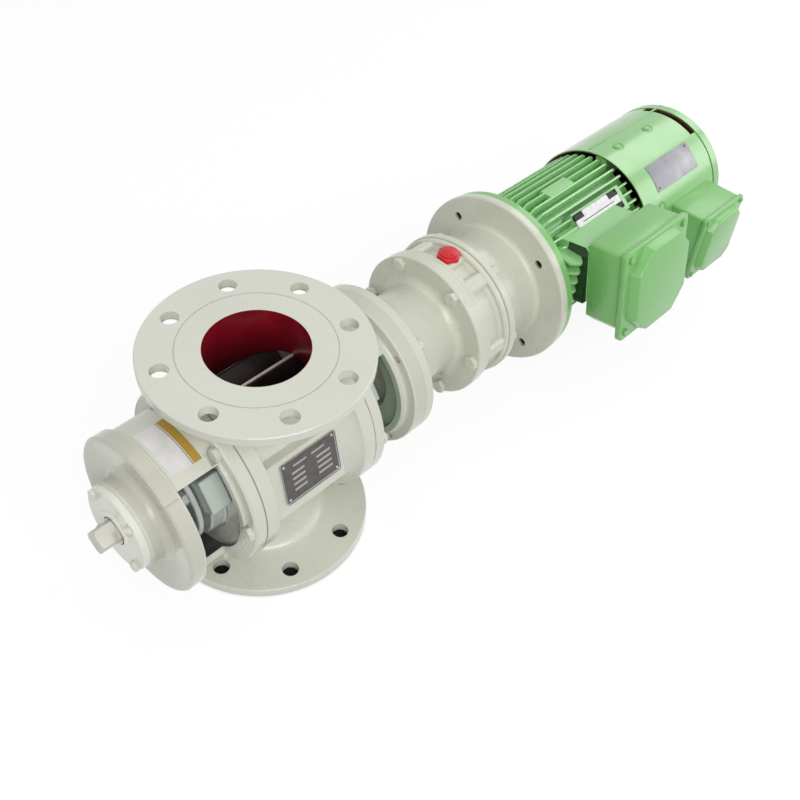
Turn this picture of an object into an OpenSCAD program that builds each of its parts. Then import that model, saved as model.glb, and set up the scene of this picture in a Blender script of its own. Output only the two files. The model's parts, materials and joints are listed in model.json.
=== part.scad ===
// Rotary airlock valve with a cycloidal gear motor on its rotor shaft.
// Millimetres. Origin: centre of the outlet flange face. +Z towards the inlet, +X towards the motor.
// Angles round the shaft are counted from the front (-Y) up towards +Z.

/* [Ports] */
// Bore of the inlet and outlet throats
port_bore_d = 100; // [90:1:104]
// Outer diameter of the port flanges
port_flange_d = 220; // [216:1:240]
// Thickness of the port flanges
port_flange_t = 10; // [8:0.5:14]
// Bolt circle of the port flanges
port_pcd = 180; // [178:1:184]
// Number of bolt holes in each port flange
port_holes = 8; // [4:2:12]
// Diameter of the inlet bolt holes
inlet_hole_d = 18; // [16:0.5:20]
// Diameter of the outlet bolt holes, which locate the valve
outlet_hole_d = 17; // [16:0.5:20]
// Height of the rotor axis above the outlet face
axis_h = 118; // [116:1:140]

/* [Housing] */
// Half length of the rotor housing, from its middle to its end face
housing_half = 69; // [66:0.5:80]
// Bore that the rotor turns in
rotor_bore_d = 144; // [140:1:146]
// Wall of the round barrel
barrel_wall = 8; // [6:0.5:9]
// Diameter of the housing end flanges and end covers
cover_d = 184; // [182:1:190]
// Thickness of the housing end flanges
housing_flange_t = 14.5; // [13:0.5:18]
// Wall of the inlet and outlet necks
neck_wall = 8; // [6:0.5:10]

/* [Rotor] */
// Number of rotor vanes
vanes = 8; // [6:1:10]
// Thickness of a rotor vane
vane_t = 5; // [3:0.5:7]
// Running gap between the vane tips and the housing bore
vane_gap = 0.4; // [0.2:0.05:0.8]
// Diameter of the rotor hub
hub_d = 54; // [50:1:70]
// Angle of the first vane
vane_phase = 96; // [90:1:110]

/* [Shaft] */
// Diameter of the shaft in the rotor hub
hub_bore_d = 40; // [36:1:44]
// Diameter of the outboard journal, inside the packing
outboard_journal_d = 35; // [32:1:38]
// Diameter of the drive end journal, inside the packing
drive_journal_d = 45; // [42:1:48]
// Diameter of the hand crank stub
stub_d = 28; // [24:1:28]
// Width across flats of the square on the stub
stub_square = 22; // [18:0.5:24]
// Length of the square on the stub
stub_length = 19; // [14:1:30]

/* [End covers] */
// Thickness of the end cover flanges
cover_t = 13; // [11:0.5:16]
// Thickness of the cover gaskets
gasket_t = 1; // [0.5:0.1:2]
// Bolts in each end cover
cover_bolts = 6; // [4:1:8]
// Bolt circle of the end covers
cover_pcd = 168; // [166:1:170]
// Outer diameter of the stuffing boxes
stuffing_d = 100; // [92:1:104]
// How far the stuffing boxes stand out of the covers
stuffing_l = 17; // [14:1:22]
// Width of the packing between shaft and box
packing_w = 10; // [8:0.5:10]
// Length of the bearing brackets, from cover face to bearing disc
lantern_l = 48; // [45:1:60]
// Outer diameter of the outboard bracket
outboard_shell_d = 160; // [152:1:162]
// Outer diameter of the drive side bracket
drive_shell_d = 148; // [140:1:150]
// Wall of the brackets
shell_wall = 7; // [5:0.5:9]
// Upper edge of the bracket windows
window_top = 54; // [40:1:60]
// Lower edge of the bracket windows
window_bottom = -52; // [-60:1:-40]
// Diameter of the outboard bearing disc
disc_d = 164.5; // [160:0.5:170]
// Thickness of the bearing discs
disc_t = 17; // [15:0.5:20]

/* [Outboard bearing] */
// Bore of the outboard bearing
bearing_bore = 30; // [28:1:30]
// Outer diameter of the outboard bearing
bearing_d = 62; // [58:1:64]
// Width of the outboard bearing
bearing_w = 16; // [14:1:18]
// Diameter of the bearing boss
boss_d = 88; // [84:1:96]
// How far the boss stands out of the disc
boss_l = 15; // [13:1:20]
// Thickness of the bearing cap
cap_t = 7; // [6:0.5:10]

/* [Reducer] */
// Reduction ratio, which is also the lobe count of a cycloid disc
ratio = 17; // [11:1:23]
// Radius of the ring pin circle
ring_r = 50; // [48:0.5:52]
// Diameter of a ring pin
ring_pin_d = 8; // [6:0.5:8]
// Throw of the eccentric
throw = 1.5; // [1:0.1:1.6]
// Thickness of a cycloid disc
disc_w = 12; // [9:0.5:13]
// Running gap between cycloid disc and ring pins
lobe_gap = 0.15; // [0.1:0.01:0.25]
// Number of output pins
output_pins = 8; // [6:1:10]
// Radius of the output pin circle
output_r = 34.5; // [33:0.5:35]
// Diameter of the drive side bracket flange and reducer foot flange
foot_d = 173; // [170:1:180]
// Thickness of the reducer foot flange
foot_t = 11; // [9:0.5:14]
// Bolt circle of the foot flange
foot_pcd = 158; // [156:1:160]
// Diameter of the reducer output neck
neck_d = 102; // [98:1:110]
// Length of the output neck between its flanges
neck_l = 74.5; // [72:0.5:90]
// Diameter of the reducer case flanges
case_d = 166.6; // [164:0.2:172]
// Thickness of the reducer case flange
case_flange_t = 13.5; // [12:0.5:16]
// Length of the ring pin housing
ring_l = 38; // [37:1:46]
// Bolt circle of the case bolts
case_pcd = 150; // [149:0.5:151]
// Diameter of the motor adapter disc
adapter_d = 206; // [202:1:220]
// Diameter of the adapter hub behind the disc
adapter_hub_d = 138; // [130:1:142]
// Length of the adapter, case flange to motor face
adapter_l = 75; // [72:1:84]
// Thickness of the adapter disc
adapter_disc_t = 9; // [8:0.5:12]

/* [Motor] */
// Diameter of the motor flange
motor_flange_d = 203; // [200:1:206]
// Bolt circle of the motor flange
motor_pcd = 165; // [163:1:167]
// Diameter of the motor locating spigot
motor_spigot_d = 130; // [126:1:132]
// Length of the finned motor frame
frame_l = 160; // [150:1:200]
// Diameter over the cooling fins
fin_d = 160; // [154:1:160]
// Diameter at the foot of the fins
fin_root_d = 134; // [130:1:138]
// Number of cooling fins
fins = 44; // [30:1:52]
// Thickness of a cooling fin
fin_t = 2.6; // [2:0.1:3.2]
// Motor shaft diameter
motor_shaft_d = 19; // [17:1:20]
// Diameter of the fan cover
fan_cover_d = 168; // [166:1:180]
// Length of the fan cover
fan_cover_l = 155; // [150:1:180]
// Sheet thickness of the fan cover
sheet_t = 2; // [1.5:0.1:3]

/* [Terminal boxes] */
// Distance of the motor terminal lid from the shaft axis
box_reach = 142; // [136:1:160]
// Width of the motor terminal box, along the shaft
box_w = 126; // [110:1:130]
// Height of the motor terminal box
box_h = 107; // [100:1:112]
// Tilt of the motor terminal box, up from the front
box_tilt = 10; // [0:1:20]
// Distance of the fan terminal lid from the shaft axis
small_reach = 128; // [120:1:140]
// Width of the fan terminal box, along the shaft
small_w = 96; // [80:1:100]
// Height of the fan terminal box
small_h = 76; // [60:1:80]

/* [Fits] */
// Radial gap between pieces that are fixed together
fixed_gap = 0.04; // [0.02:0.01:0.08]
// Radial gap between a turning piece and its bearing surface
running_gap = 0.06; // [0.04:0.01:0.09]

/* [Hidden] */
$fn = 96;

// Stations along the shaft
joint_x = housing_half + gasket_t;
cover_face = joint_x + cover_t;
box_face = cover_face + stuffing_l;
disc_face = cover_face + lantern_l;
disc_end = disc_face + disc_t;
boss_end = disc_end + boss_l;
cap_end = boss_end + cap_t;
packing_x = joint_x + 5;
packing_ring_w = 6.5;
packing_rings = 3;
packing_end = packing_x + packing_rings * packing_ring_w;
gland_gap = 7;
gland_face = box_face + gland_gap;
gland_t = 6;
foot_end = disc_end + foot_t;
case_x = foot_end + neck_l;
ring_x = case_x + case_flange_t;
adapter_x = ring_x + ring_l;
adapter_flange_t = 8.5;
motor_x = adapter_x + adapter_l;
motor_flange_t = 11;
frame_x = motor_x + motor_flange_t + 13;
frame_end = frame_x + frame_l;
cover_front = frame_end;
cover_rear = cover_front + fan_cover_l;

// Radii shared by several pieces
bore_r = rotor_bore_d / 2;
barrel_r = bore_r + barrel_wall;
cover_r = cover_d / 2;
port_r = port_bore_d / 2;
port_neck_r = port_r + neck_wall;
face_h = 2 * axis_h;
tip_r = bore_r - vane_gap;
spigot_l = 6;
spigot_r = bore_r - fixed_gap;
rotor_half = joint_x - spigot_l - 0.6;
output_shaft_r = 14;
bearing_seat_x = disc_end + boss_l - bearing_w;
reducer_bearing_d = 62;
reducer_bearing_w = 16;
reducer_spigot_r = 45;
reducer_spigot_l = 5;
output_flange_t = 10;
output_flange_r = output_r + 6.5;
output_flange_x = ring_x - 15;
output_pin_r = 4;
output_roller_r = 5.5;
disc_a_x = ring_x + 5;
disc_b_x = disc_a_x + disc_w + 3;
cam_r = 17;
cam_roller_r = 3.5;
cam_bore_r = cam_r + 2 * cam_roller_r + 2 * running_gap;
ring_pins_n = ratio + 1;
ring_core_r = ring_r + 24;
case_r = case_d / 2;
motor_bearing_d = 47;
motor_bearing_w = 14;
motor_journal_r = 10;
motor_bearing_x = motor_x + 5;
rear_bearing_x = frame_end - 6;
fan_cover_r = fan_cover_d / 2;
fin_r = fin_d / 2;
frame_bore_r = 57;

// ---- Helpers ----

// Turns a radius and length outline about the shaft axis
module turned(points) {
    translate([0, 0, axis_h])
        rotate([0, 90, 0])
            rotate_extrude() polygon(points);
}

// Round bar or bore along the shaft axis from x0 to x1
module bar(r, x0, x1) {
    translate([x0, 0, axis_h]) rotate([0, 90, 0]) cylinder(r = r, h = x1 - x0);
}

// Ring along the shaft axis
module ring(r_out, r_in, x0, x1) {
    difference() {
        bar(r_out, x0, x1);
        bar(r_in, x0 - 1, x1 + 1);
    }
}

// Places children at an angle round the shaft: local -Y points outwards
module at_angle(a) {
    translate([0, 0, axis_h]) rotate([-a, 0, 0]) children();
}

// Places children lying along +X at radius r and angle a, starting at x
module on_circle(r, a, x) {
    at_angle(a) translate([x, -r, 0]) rotate([0, 90, 0]) children();
}

// Evenly spaced copies on a circle
module pattern(n, r, x, start = 0) {
    for (i = [0:n - 1]) on_circle(r, start + i * 360 / n, x) children();
}

// Solid wedge round the shaft between two angles
module wedge(a0, a1, r, x0, x1) {
    steps = 6;
    translate([x0, 0, axis_h])
        rotate([90, 0, 90])
            linear_extrude(x1 - x0)
                polygon(concat([[0, 0]],
                    [for (i = [0:steps]) let (a = a0 + (a1 - a0) * i / steps)
                        [-r * cos(a), r * sin(a)] / cos((a1 - a0) / steps / 2)]));
}

// Block tangent to the shaft: out from r0 to r1 at angle a, u up along the tangent
module tangent_block(a, r0, r1, x0, x1, u0, u1) {
    at_angle(a) translate([x0, -r1, u0]) cube([x1 - x0, r1 - r0, u1 - u0]);
}

// Block like tangent_block with its outer edges cut back
module tangent_pad(a, r0, r1, x0, x1, u0, u1, c) {
    at_angle(a)
        translate([x0, 0, 0])
            rotate([90, 0, 90])
                linear_extrude(x1 - x0)
                    polygon([[-r0, u0], [-r1 + c, u0], [-r1, u0 + c],
                        [-r1, u1 - c], [-r1 + c, u1], [-r0, u1]]);
}

// Plate tangent to the shaft with round corners
module tangent_plate(a, r0, r1, x0, x1, u0, u1, c) {
    at_angle(a)
        translate([0, -r0, 0])
            rotate([90, 0, 0])
                linear_extrude(r1 - r0) rounded(x0, x1, u0, u1, c);
}

// Rectangle with round corners
module rounded(x0, x1, y0, y1, c) {
    translate([x0 + c, y0]) square([x1 - x0 - 2 * c, y1 - y0]);
    translate([x0, y0 + c]) square([x1 - x0, y1 - y0 - 2 * c]);
    for (x = [x0 + c, x1 - c], y = [y0 + c, y1 - c])
        translate([x, y]) circle(r = c, $fn = 32);
}

// Points on an arc, for outlines
function arc(cx, cy, r, a0, a1, n = 6) =
    [for (i = [0:n]) let (a = a0 + (a1 - a0) * i / n) [cx + r * cos(a), cy + r * sin(a)]];

// Hex bolt head lying along +X with its washer face at 0 and its top at -h
module hex_head(af, h) {
    translate([0, 0, -h])
        intersection() {
            cylinder(r = af / 2 / cos(30), h = h, $fn = 6);
            cylinder(r1 = af / 2 - 0.4, r2 = af / 2 - 0.4 + 2 * h, h = 2 * h);
        }
}

// Hex nut with its seat at 0, reaching up to h
module hex_nut(af, h) {
    mirror([0, 0, 1]) hex_head(af, h);
}

// Deep groove ball bearing rings and balls
module bearing_outer(d, w, ball_r, pitch_r, x) {
    difference() {
        bar(d / 2, x, x + w);
        bar(pitch_r + ball_r * 0.55, x - 1, x + w + 1);
        ball_race(ball_r + 0.12, pitch_r, x + w / 2);
    }
}

module bearing_inner(bore, w, ball_r, pitch_r, x) {
    difference() {
        bar(pitch_r - ball_r * 0.55, x, x + w);
        bar(bore / 2, x - 1, x + w + 1);
        ball_race(ball_r + 0.12, pitch_r, x + w / 2);
    }
}

module ball_race(ball_r, pitch_r, x) {
    translate([x, 0, axis_h])
        rotate([0, 90, 0])
            rotate_extrude() translate([pitch_r, 0]) circle(r = ball_r, $fn = 48);
}

module bearing_balls(n, ball_r, pitch_r, x) {
    for (i = [0:n - 1]) at_angle(i * 360 / n) translate([x, -pitch_r, 0]) sphere(r = ball_r);
}

// Mirrors children to the outboard side
module outboard() {
    mirror([1, 0, 0]) children();
}

// ---- Housing ----

// Hollow between barrel and drive side flange, and the angle it ends at
bell_r = 20;
bell_a = acos((cover_r - barrel_r - bell_r) / bell_r);

module port_neck(hole_d) {
    // From the barrel to the port flange, flaring into it, measured from the rotor axis
    flare = 9;
    top = axis_h - port_flange_t;
    difference() {
        rotate_extrude()
            polygon(concat([[0, 0], [port_neck_r, 0]],
                arc(port_neck_r + flare, top - flare, flare, 180, 90, 6),
                [[port_flange_d / 2 - 0.8, top], [port_flange_d / 2, top + 0.8],
                    [port_flange_d / 2, axis_h - 0.8], [port_flange_d / 2 - 0.8, axis_h], [0, axis_h]]));
        translate([0, 0, axis_h - 0.6])
            difference() {
                cylinder(r = port_r + 25, h = 1);
                translate([0, 0, -1]) cylinder(r = port_r + 24.2, h = 3);
            }
        for (i = [0:port_holes - 1])
            rotate([0, 0, (i + 0.5) * 360 / port_holes])
                translate([port_pcd / 2, 0, top - 1]) cylinder(d = hole_d, h = port_flange_t + 2);
    }
}

pad_angle = 14;
pad_r = barrel_r + 5;

module housing() color([0.85, 0.85, 0.80])
    difference() {
        union() {
            turned(concat([[0, -housing_half], [cover_r, -housing_half],
                [cover_r, -housing_half + housing_flange_t]],
                arc(barrel_r + 3, -housing_half + housing_flange_t + 3, 3, 270, 180, 4),
                arc(barrel_r + bell_r, housing_half - housing_flange_t - bell_r * sin(bell_a), bell_r, 180, bell_a, 7),
                [[cover_r, housing_half], [0, housing_half]]));
            translate([0, 0, axis_h]) port_neck(inlet_hole_d);
            translate([0, 0, axis_h]) rotate([180, 0, 0]) port_neck(outlet_hole_d);
            tangent_pad(pad_angle, 60, pad_r, -housing_half + housing_flange_t - 1, 31, -30, 34, 2);
        }
        bar(bore_r, -housing_half - 1, housing_half + 1);
        translate([0, 0, -1]) cylinder(r = port_r, h = face_h + 2);
        for (s = [-1, 1])
            pattern(cover_bolts, cover_pcd / 2, s > 0 ? housing_half - 13 : -housing_half - 1)
                cylinder(r = 4 + fixed_gap, h = 14);
    }

// ---- End covers ----

cover_bolt_r = 4;
shell_window = [window_bottom, window_top];

// Flange, spigot and stuffing box, bored for the shaft and its packing
module cover_solid() {
    turned([[0, joint_x - spigot_l], [spigot_r, joint_x - spigot_l], [spigot_r, joint_x],
        [cover_r - 0.5, joint_x], [cover_r, joint_x + 0.5], [cover_r, cover_face - 2],
        [cover_r - 2, cover_face], [stuffing_d / 2 + 3, cover_face],
        [stuffing_d / 2, cover_face + 3], [stuffing_d / 2, box_face - 1.5],
        [stuffing_d / 2 - 1.5, box_face], [0, box_face]]);
}

module cover_bores(journal_r) {
    bar(journal_r + 0.4, joint_x - spigot_l - 1, box_face + 1);
    bar(journal_r + packing_w, packing_x, box_face + 1);
    pattern(cover_bolts, cover_pcd / 2, joint_x - 1) cylinder(r = cover_bolt_r + 0.5, h = cover_t + 2);
    gland_stud_places(box_face - stud_in) cylinder(r = stud_r + fixed_gap, h = stud_in + 1);
}

// Open bracket between cover and bearing disc: two saddles with a window on each side,
// and a ring of the given width left at the disc
module lantern(shell_r, root) {
    difference() {
        ring(shell_r, shell_r - shell_wall, cover_face - 1, disc_face + 1);
        for (side = [0, 180])
            wedge(window_bottom + side, window_top + side, shell_r + 20, cover_face + 4, disc_face - root);
        pattern(cover_bolts, cover_pcd / 2, cover_face) cylinder(r = 8.2, h = 9);
    }
}

// Depth of the hollow in the outboard disc face
dish = 5;

// Fine raised line where the halves of the casting mould met
module casting_seam(a) {
    at_angle(a)
        translate([0, 0, -0.6])
            linear_extrude(1.2)
                polygon([[disc_face + 3, -disc_d / 2 - 0.7], [disc_end - 2, -disc_d / 2 - 0.7],
                    [disc_end + 0.6, -disc_d / 2 + 2], [disc_end + 0.6, -disc_d / 2 + 6],
                    [disc_end - dish + 0.6, -boss_d / 2 - 8], [disc_face + 3, -boss_d / 2 - 8]]);
}

module outboard_cover() color([0.84, 0.84, 0.78])
    outboard()
        difference() {
            union() {
                cover_solid();
                lantern(outboard_shell_d / 2, 0);
                turned(concat([[0, disc_face], [disc_d / 2 - 1, disc_face], [disc_d / 2, disc_face + 1],
                    [disc_d / 2, disc_end - 2], [disc_d / 2 - 2, disc_end], [disc_d / 2 - 5, disc_end]],
                    arc(boss_d / 2 + 8, disc_end - dish + 8, 8, 270, 180, 6),
                    [[boss_d / 2, boss_end], [0, boss_end]]));
                for (a = [50, 230]) casting_seam(a);
            }
            cover_bores(outboard_journal_d / 2);
            bar(outboard_journal_d / 2 + 1, disc_face - 1, boss_end);
            bar(bearing_d / 2 + fixed_gap, bearing_seat_x, boss_end + 1);
            pattern(cap_bolt_n, cap_bolt_circle, boss_end - 9, 45) cylinder(r = 3 + fixed_gap, h = 10);
        }

module drive_cover() color([0.84, 0.84, 0.78])
    difference() {
        union() {
            cover_solid();
            lantern(drive_shell_d / 2, 7);
            turned(concat([[reducer_spigot_r, disc_face]],
                arc(drive_shell_d / 2 + 3, disc_face - 3, 3, 180, 90, 4),
                [[foot_d / 2 - 1, disc_face], [foot_d / 2, disc_face + 1],
                [foot_d / 2, disc_end], [reducer_spigot_r, disc_end]]));
        }
        cover_bores(drive_journal_d / 2);
        pattern(4, foot_pcd / 2, disc_face - 1, 45) cylinder(r = 4 + fixed_gap, h = disc_t + 2);
        // trims the root ring of the flange inside the windows
        bar(drive_shell_d / 2 - shell_wall, disc_face - 3.2, disc_face - 0.001);
    }

module gasket() {
    difference() {
        ring(cover_r - 1, bore_r + 0.1, housing_half, joint_x);
        pattern(cover_bolts, cover_pcd / 2, housing_half - 1) cylinder(r = cover_bolt_r + 0.5, h = gasket_t + 2);
    }
}

module outboard_gasket() color([0.25, 0.25, 0.25]) outboard() gasket();
module drive_gasket() color([0.25, 0.25, 0.25]) gasket();

module cover_bolt_set() {
    pattern(cover_bolts, cover_pcd / 2, cover_face) {
        mirror([0, 0, 1]) hex_head(13, 5.5);
        translate([0, 0, -cover_t - gasket_t - 12]) cylinder(r = cover_bolt_r, h = cover_t + gasket_t + 12.5);
    }
}

module outboard_cover_bolts() color([0.82, 0.82, 0.77]) outboard() cover_bolt_set();
module drive_cover_bolts() color([0.82, 0.82, 0.77]) cover_bolt_set();

// ---- Packing and glands ----

stud_r = 4;
stud_in = 8;
stud_circle = 39;
stud_start = 40;

module gland_stud_places(x) {
    pattern(4, stud_circle, x, stud_start) children();
}

module packing(journal_r) {
    for (i = [0:packing_rings - 1])
        ring(journal_r + packing_w - fixed_gap, journal_r + running_gap,
            packing_x + i * packing_ring_w + 0.05, packing_x + (i + 1) * packing_ring_w);
}

module outboard_packing() color([0.2, 0.2, 0.2]) outboard() packing(outboard_journal_d / 2);
module drive_packing() color([0.2, 0.2, 0.2]) packing(drive_journal_d / 2);

module gland(journal_r) {
    difference() {
        turned([[journal_r + 0.5, packing_end + 0.1], [journal_r + packing_w - 0.1, packing_end + 0.1],
            [journal_r + packing_w - 0.1, gland_face], [stud_circle + 8, gland_face],
            [stud_circle + 9, gland_face + 1], [stud_circle + 9, gland_face + gland_t - 1],
            [stud_circle + 8, gland_face + gland_t], [journal_r + 0.5, gland_face + gland_t]]);
        gland_stud_places(gland_face - 1) cylinder(r = stud_r + 0.3, h = gland_t + 2);
    }
}

module outboard_gland() color([0.72, 0.76, 0.73]) outboard() gland(outboard_journal_d / 2);
module drive_gland() color([0.72, 0.76, 0.73]) gland(drive_journal_d / 2);

module gland_studs() {
    gland_stud_places(box_face - stud_in + 0.2) {
        cylinder(r = stud_r, h = stud_in + gland_gap + gland_t + 9);
        translate([0, 0, stud_in - 0.2 + gland_gap + gland_t]) hex_nut(13, 6);
    }
}

module outboard_gland_studs() color([0.75, 0.76, 0.75]) outboard() gland_studs();
module drive_gland_studs() color([0.75, 0.76, 0.75]) gland_studs();

// ---- Outboard bearing ----

ball_r = 5;
ball_pitch_r = (bearing_bore + bearing_d) / 4;
cap_bolt_n = 4;
cap_bolt_circle = 37.5;

module outboard_bearing_outer() color([0.7, 0.71, 0.72])
    outboard() bearing_outer(bearing_d, bearing_w, ball_r, ball_pitch_r, bearing_seat_x);
module outboard_bearing_inner() color([0.7, 0.71, 0.72])
    outboard() bearing_inner(bearing_bore, bearing_w, ball_r, ball_pitch_r, bearing_seat_x);
module outboard_bearing_balls() color([0.8, 0.81, 0.82])
    outboard() bearing_balls(9, ball_r, ball_pitch_r, bearing_seat_x + bearing_w / 2);

seal_r = 20;

module bearing_cap() color([0.84, 0.84, 0.78])
    outboard()
        difference() {
            turned([[0, boss_end], [boss_d / 2 - 1, boss_end], [boss_d / 2 - 1, cap_end - 1.5],
                [boss_d / 2 - 2.5, cap_end], [seal_r + 1, cap_end], [seal_r, cap_end + 1.5], [0, cap_end + 1.5]]);
            bar(stub_d / 2 + 1, boss_end - 1, cap_end + 2);
            bar(seal_r - 2, boss_end - 1, cap_end);
            pattern(cap_bolt_n, cap_bolt_circle, boss_end - 1, 45) cylinder(r = 3.3, h = cap_t + 3);
        }

module bearing_cap_bolts() color([0.84, 0.84, 0.80])
    outboard()
        pattern(cap_bolt_n, cap_bolt_circle, cap_end, 45) {
            mirror([0, 0, 1]) hex_head(10, 4);
            translate([0, 0, -cap_t - 8]) cylinder(r = 3, h = cap_t + 8.5);
        }

module shaft_seal() color([0.12, 0.12, 0.12])
    outboard() ring(seal_r - 2 - fixed_gap, stub_d / 2 + running_gap, boss_end + 0.3, cap_end - 0.1);

// ---- Rotor ----

key_w = 12;
key_h = 8;

module rotor() color([0.60, 0.60, 0.58])
    difference() {
        union() {
            bar(hub_d / 2, -rotor_half, rotor_half);
            for (i = [0:vanes - 1])
                at_angle(vane_phase + i * 360 / vanes)
                    translate([-rotor_half, 0, 0])
                        rotate([90, 0, 90])
                            linear_extrude(2 * rotor_half)
                                polygon([[-hub_d / 2 + 3, -vane_t], [-hub_d / 2 - 4, -vane_t / 2],
                                    [-tip_r + 2.5, -vane_t / 2], [-tip_r, -vane_t / 5], [-tip_r, vane_t / 5],
                                    [-tip_r + 2.5, vane_t / 2], [-hub_d / 2 - 4, vane_t / 2], [-hub_d / 2 + 3, vane_t]]);
        }
        bar(hub_bore_d / 2 + fixed_gap, -rotor_half - 1, rotor_half + 1);
        hub_key_space(fixed_gap);
    }

// Key between shaft and hub, grown by a gap where it is a slot
module hub_key_space(gap) {
    tangent_block(0, hub_bore_d / 2 - key_h / 2 - gap, hub_bore_d / 2 + key_h / 2 + gap - 0.5,
        -30 - gap, 30 + gap, -key_w / 2 - gap, key_w / 2 + gap);
}

// Key between the output shaft and the drive end of the rotor shaft
module drive_key_space(gap) {
    tangent_block(0, output_shaft_r - 4 - gap, output_shaft_r + 3 + gap,
        drive_end - 32 - gap, drive_end - 2 + gap, -4 - gap, 4 + gap);
}

drive_end = gland_face + gland_t + 12;
socket_l = 40;

module rotor_shaft() color([0.80, 0.80, 0.77])
    difference() {
        union() {
            turned([[0, -cap_end - 2], [stub_d / 2, -cap_end - 2], [stub_d / 2, -boss_end],
                [bearing_bore / 2 - fixed_gap, -boss_end], [bearing_bore / 2 - fixed_gap, -bearing_seat_x],
                [outboard_journal_d / 2, -bearing_seat_x], [outboard_journal_d / 2, -rotor_half + 0.4],
                [hub_bore_d / 2, -rotor_half + 0.4], [hub_bore_d / 2, rotor_half + 0.1],
                [drive_journal_d / 2, rotor_half + 0.1], [drive_journal_d / 2, drive_end - 1],
                [drive_journal_d / 2 - 1, drive_end], [0, drive_end]]);
            intersection() {
                turned([[0, -cap_end - 2 - stub_length], [stub_d / 2 - 1.5, -cap_end - 2 - stub_length],
                    [stub_d / 2, -cap_end - stub_length], [stub_d / 2, -cap_end], [0, -cap_end]]);
                tangent_block(56, -stub_square / 2, stub_square / 2, -cap_end - 3 - stub_length,
                    -cap_end, -stub_square / 2, stub_square / 2);
            }
        }
        bar(output_shaft_r + fixed_gap, drive_end - socket_l, drive_end + 1);
        drive_key_space(fixed_gap);
        hub_key_space(fixed_gap);
    }

module rotor_keys() color([0.55, 0.55, 0.55]) {
    hub_key_space(0);
    drive_key_space(0);
}

// ---- Reducer ----

output_journal_r = 15;
output_ball_r = 5;
output_pitch_r = (2 * output_journal_r + reducer_bearing_d) / 4;
front_bearing_x = foot_end + 4;
rear_bearing_seat = output_flange_x - 3 - reducer_bearing_w;

module reducer_housing() color([0.74, 0.74, 0.68])
    difference() {
        turned(concat([[0, disc_end - reducer_spigot_l], [reducer_spigot_r - fixed_gap, disc_end - reducer_spigot_l],
            [reducer_spigot_r - fixed_gap, disc_end], [foot_d / 2, disc_end], [foot_d / 2, foot_end - 1],
            [foot_d / 2 - 1, foot_end]],
            arc(neck_d / 2 + 10, foot_end + 10, 10, 270, 180, 6),
            arc(neck_d / 2 + 13, case_x - 10, 10, 180, 90, 6),
            [[case_r - 1, case_x], [case_r, case_x + 1], [case_r, ring_x], [0, ring_x]]));
        bar(output_journal_r + 2, disc_end - reducer_spigot_l - 1, front_bearing_x + 1);
        bar(25 + fixed_gap, disc_end + 2, disc_end + 9);
        bar(reducer_bearing_d / 2 + fixed_gap, front_bearing_x, output_flange_x);
        bar(output_flange_r + 2, output_flange_x - 1, ring_x + 1);
        pattern(4, foot_pcd / 2, disc_end - 1, 45) cylinder(r = 4.5, h = foot_t + 2);
        case_bolt_places(case_x - 1) cylinder(r = 4.5, h = case_flange_t + 2);
    }

module case_bolt_places(x) {
    pattern(6, case_pcd / 2, x) children();
}

module foot_bolts() color([0.80, 0.80, 0.75])
    pattern(4, foot_pcd / 2, foot_end, 45) {
        mirror([0, 0, 1]) hex_head(13, 5.5);
        translate([0, 0, -foot_t - 14]) cylinder(r = 4, h = foot_t + 14.5);
    }

module output_shaft() color([0.66, 0.67, 0.68])
    difference() {
        turned([[0, drive_end - socket_l + 1], [output_shaft_r - 1, drive_end - socket_l + 1],
            [output_shaft_r, drive_end - socket_l + 2], [output_shaft_r, drive_end + 4],
            [output_journal_r - fixed_gap, drive_end + 4],
            [output_journal_r - fixed_gap, front_bearing_x + reducer_bearing_w],
            [output_journal_r + 3, front_bearing_x + reducer_bearing_w],
            [output_journal_r + 3, rear_bearing_seat], [output_journal_r - fixed_gap, rear_bearing_seat],
            [output_journal_r - fixed_gap, output_flange_x - 2], [output_flange_r, output_flange_x],
            [output_flange_r, output_flange_x + output_flange_t], [0, output_flange_x + output_flange_t]]);
        drive_key_space(fixed_gap);
        pattern(output_pins, output_r, output_flange_x + 1) cylinder(r = output_pin_r + 0.02, h = output_flange_t);
        bar(motor_shaft_d / 2 + 2, output_flange_x + 3, output_flange_x + output_flange_t + 1);
    }

module output_pins() color([0.72, 0.73, 0.74])
    pattern(output_pins, output_r, output_flange_x + 1.1) cylinder(r = output_pin_r, h = adapter_x - output_flange_x - 4);

module output_rollers() color([0.78, 0.79, 0.80])
    pattern(output_pins, output_r, output_flange_x + output_flange_t + 0.3)
        difference() {
            cylinder(r = output_roller_r, h = disc_b_x + disc_w - output_flange_x - output_flange_t + 1);
            translate([0, 0, -1]) cylinder(r = output_pin_r + 0.05, h = 80);
        }

module output_bearing_outers() color([0.7, 0.71, 0.72]) {
    bearing_outer(reducer_bearing_d, reducer_bearing_w, output_ball_r, output_pitch_r, front_bearing_x);
    bearing_outer(reducer_bearing_d, reducer_bearing_w, output_ball_r, output_pitch_r, rear_bearing_seat);
}

module output_bearing_inners() color([0.7, 0.71, 0.72]) {
    for (x = [front_bearing_x, rear_bearing_seat]) {
        bearing_inner(2 * output_journal_r, reducer_bearing_w, output_ball_r, output_pitch_r, x);
        bearing_balls(8, output_ball_r, output_pitch_r, x + reducer_bearing_w / 2);
    }
}

module output_seal() color([0.12, 0.12, 0.12])
    ring(25, output_journal_r + running_gap, disc_end + 2.1, disc_end + 8.9);

// Ring pin housing: two rims, a core and a boss round each case bolt
rim_t = 7;

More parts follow.
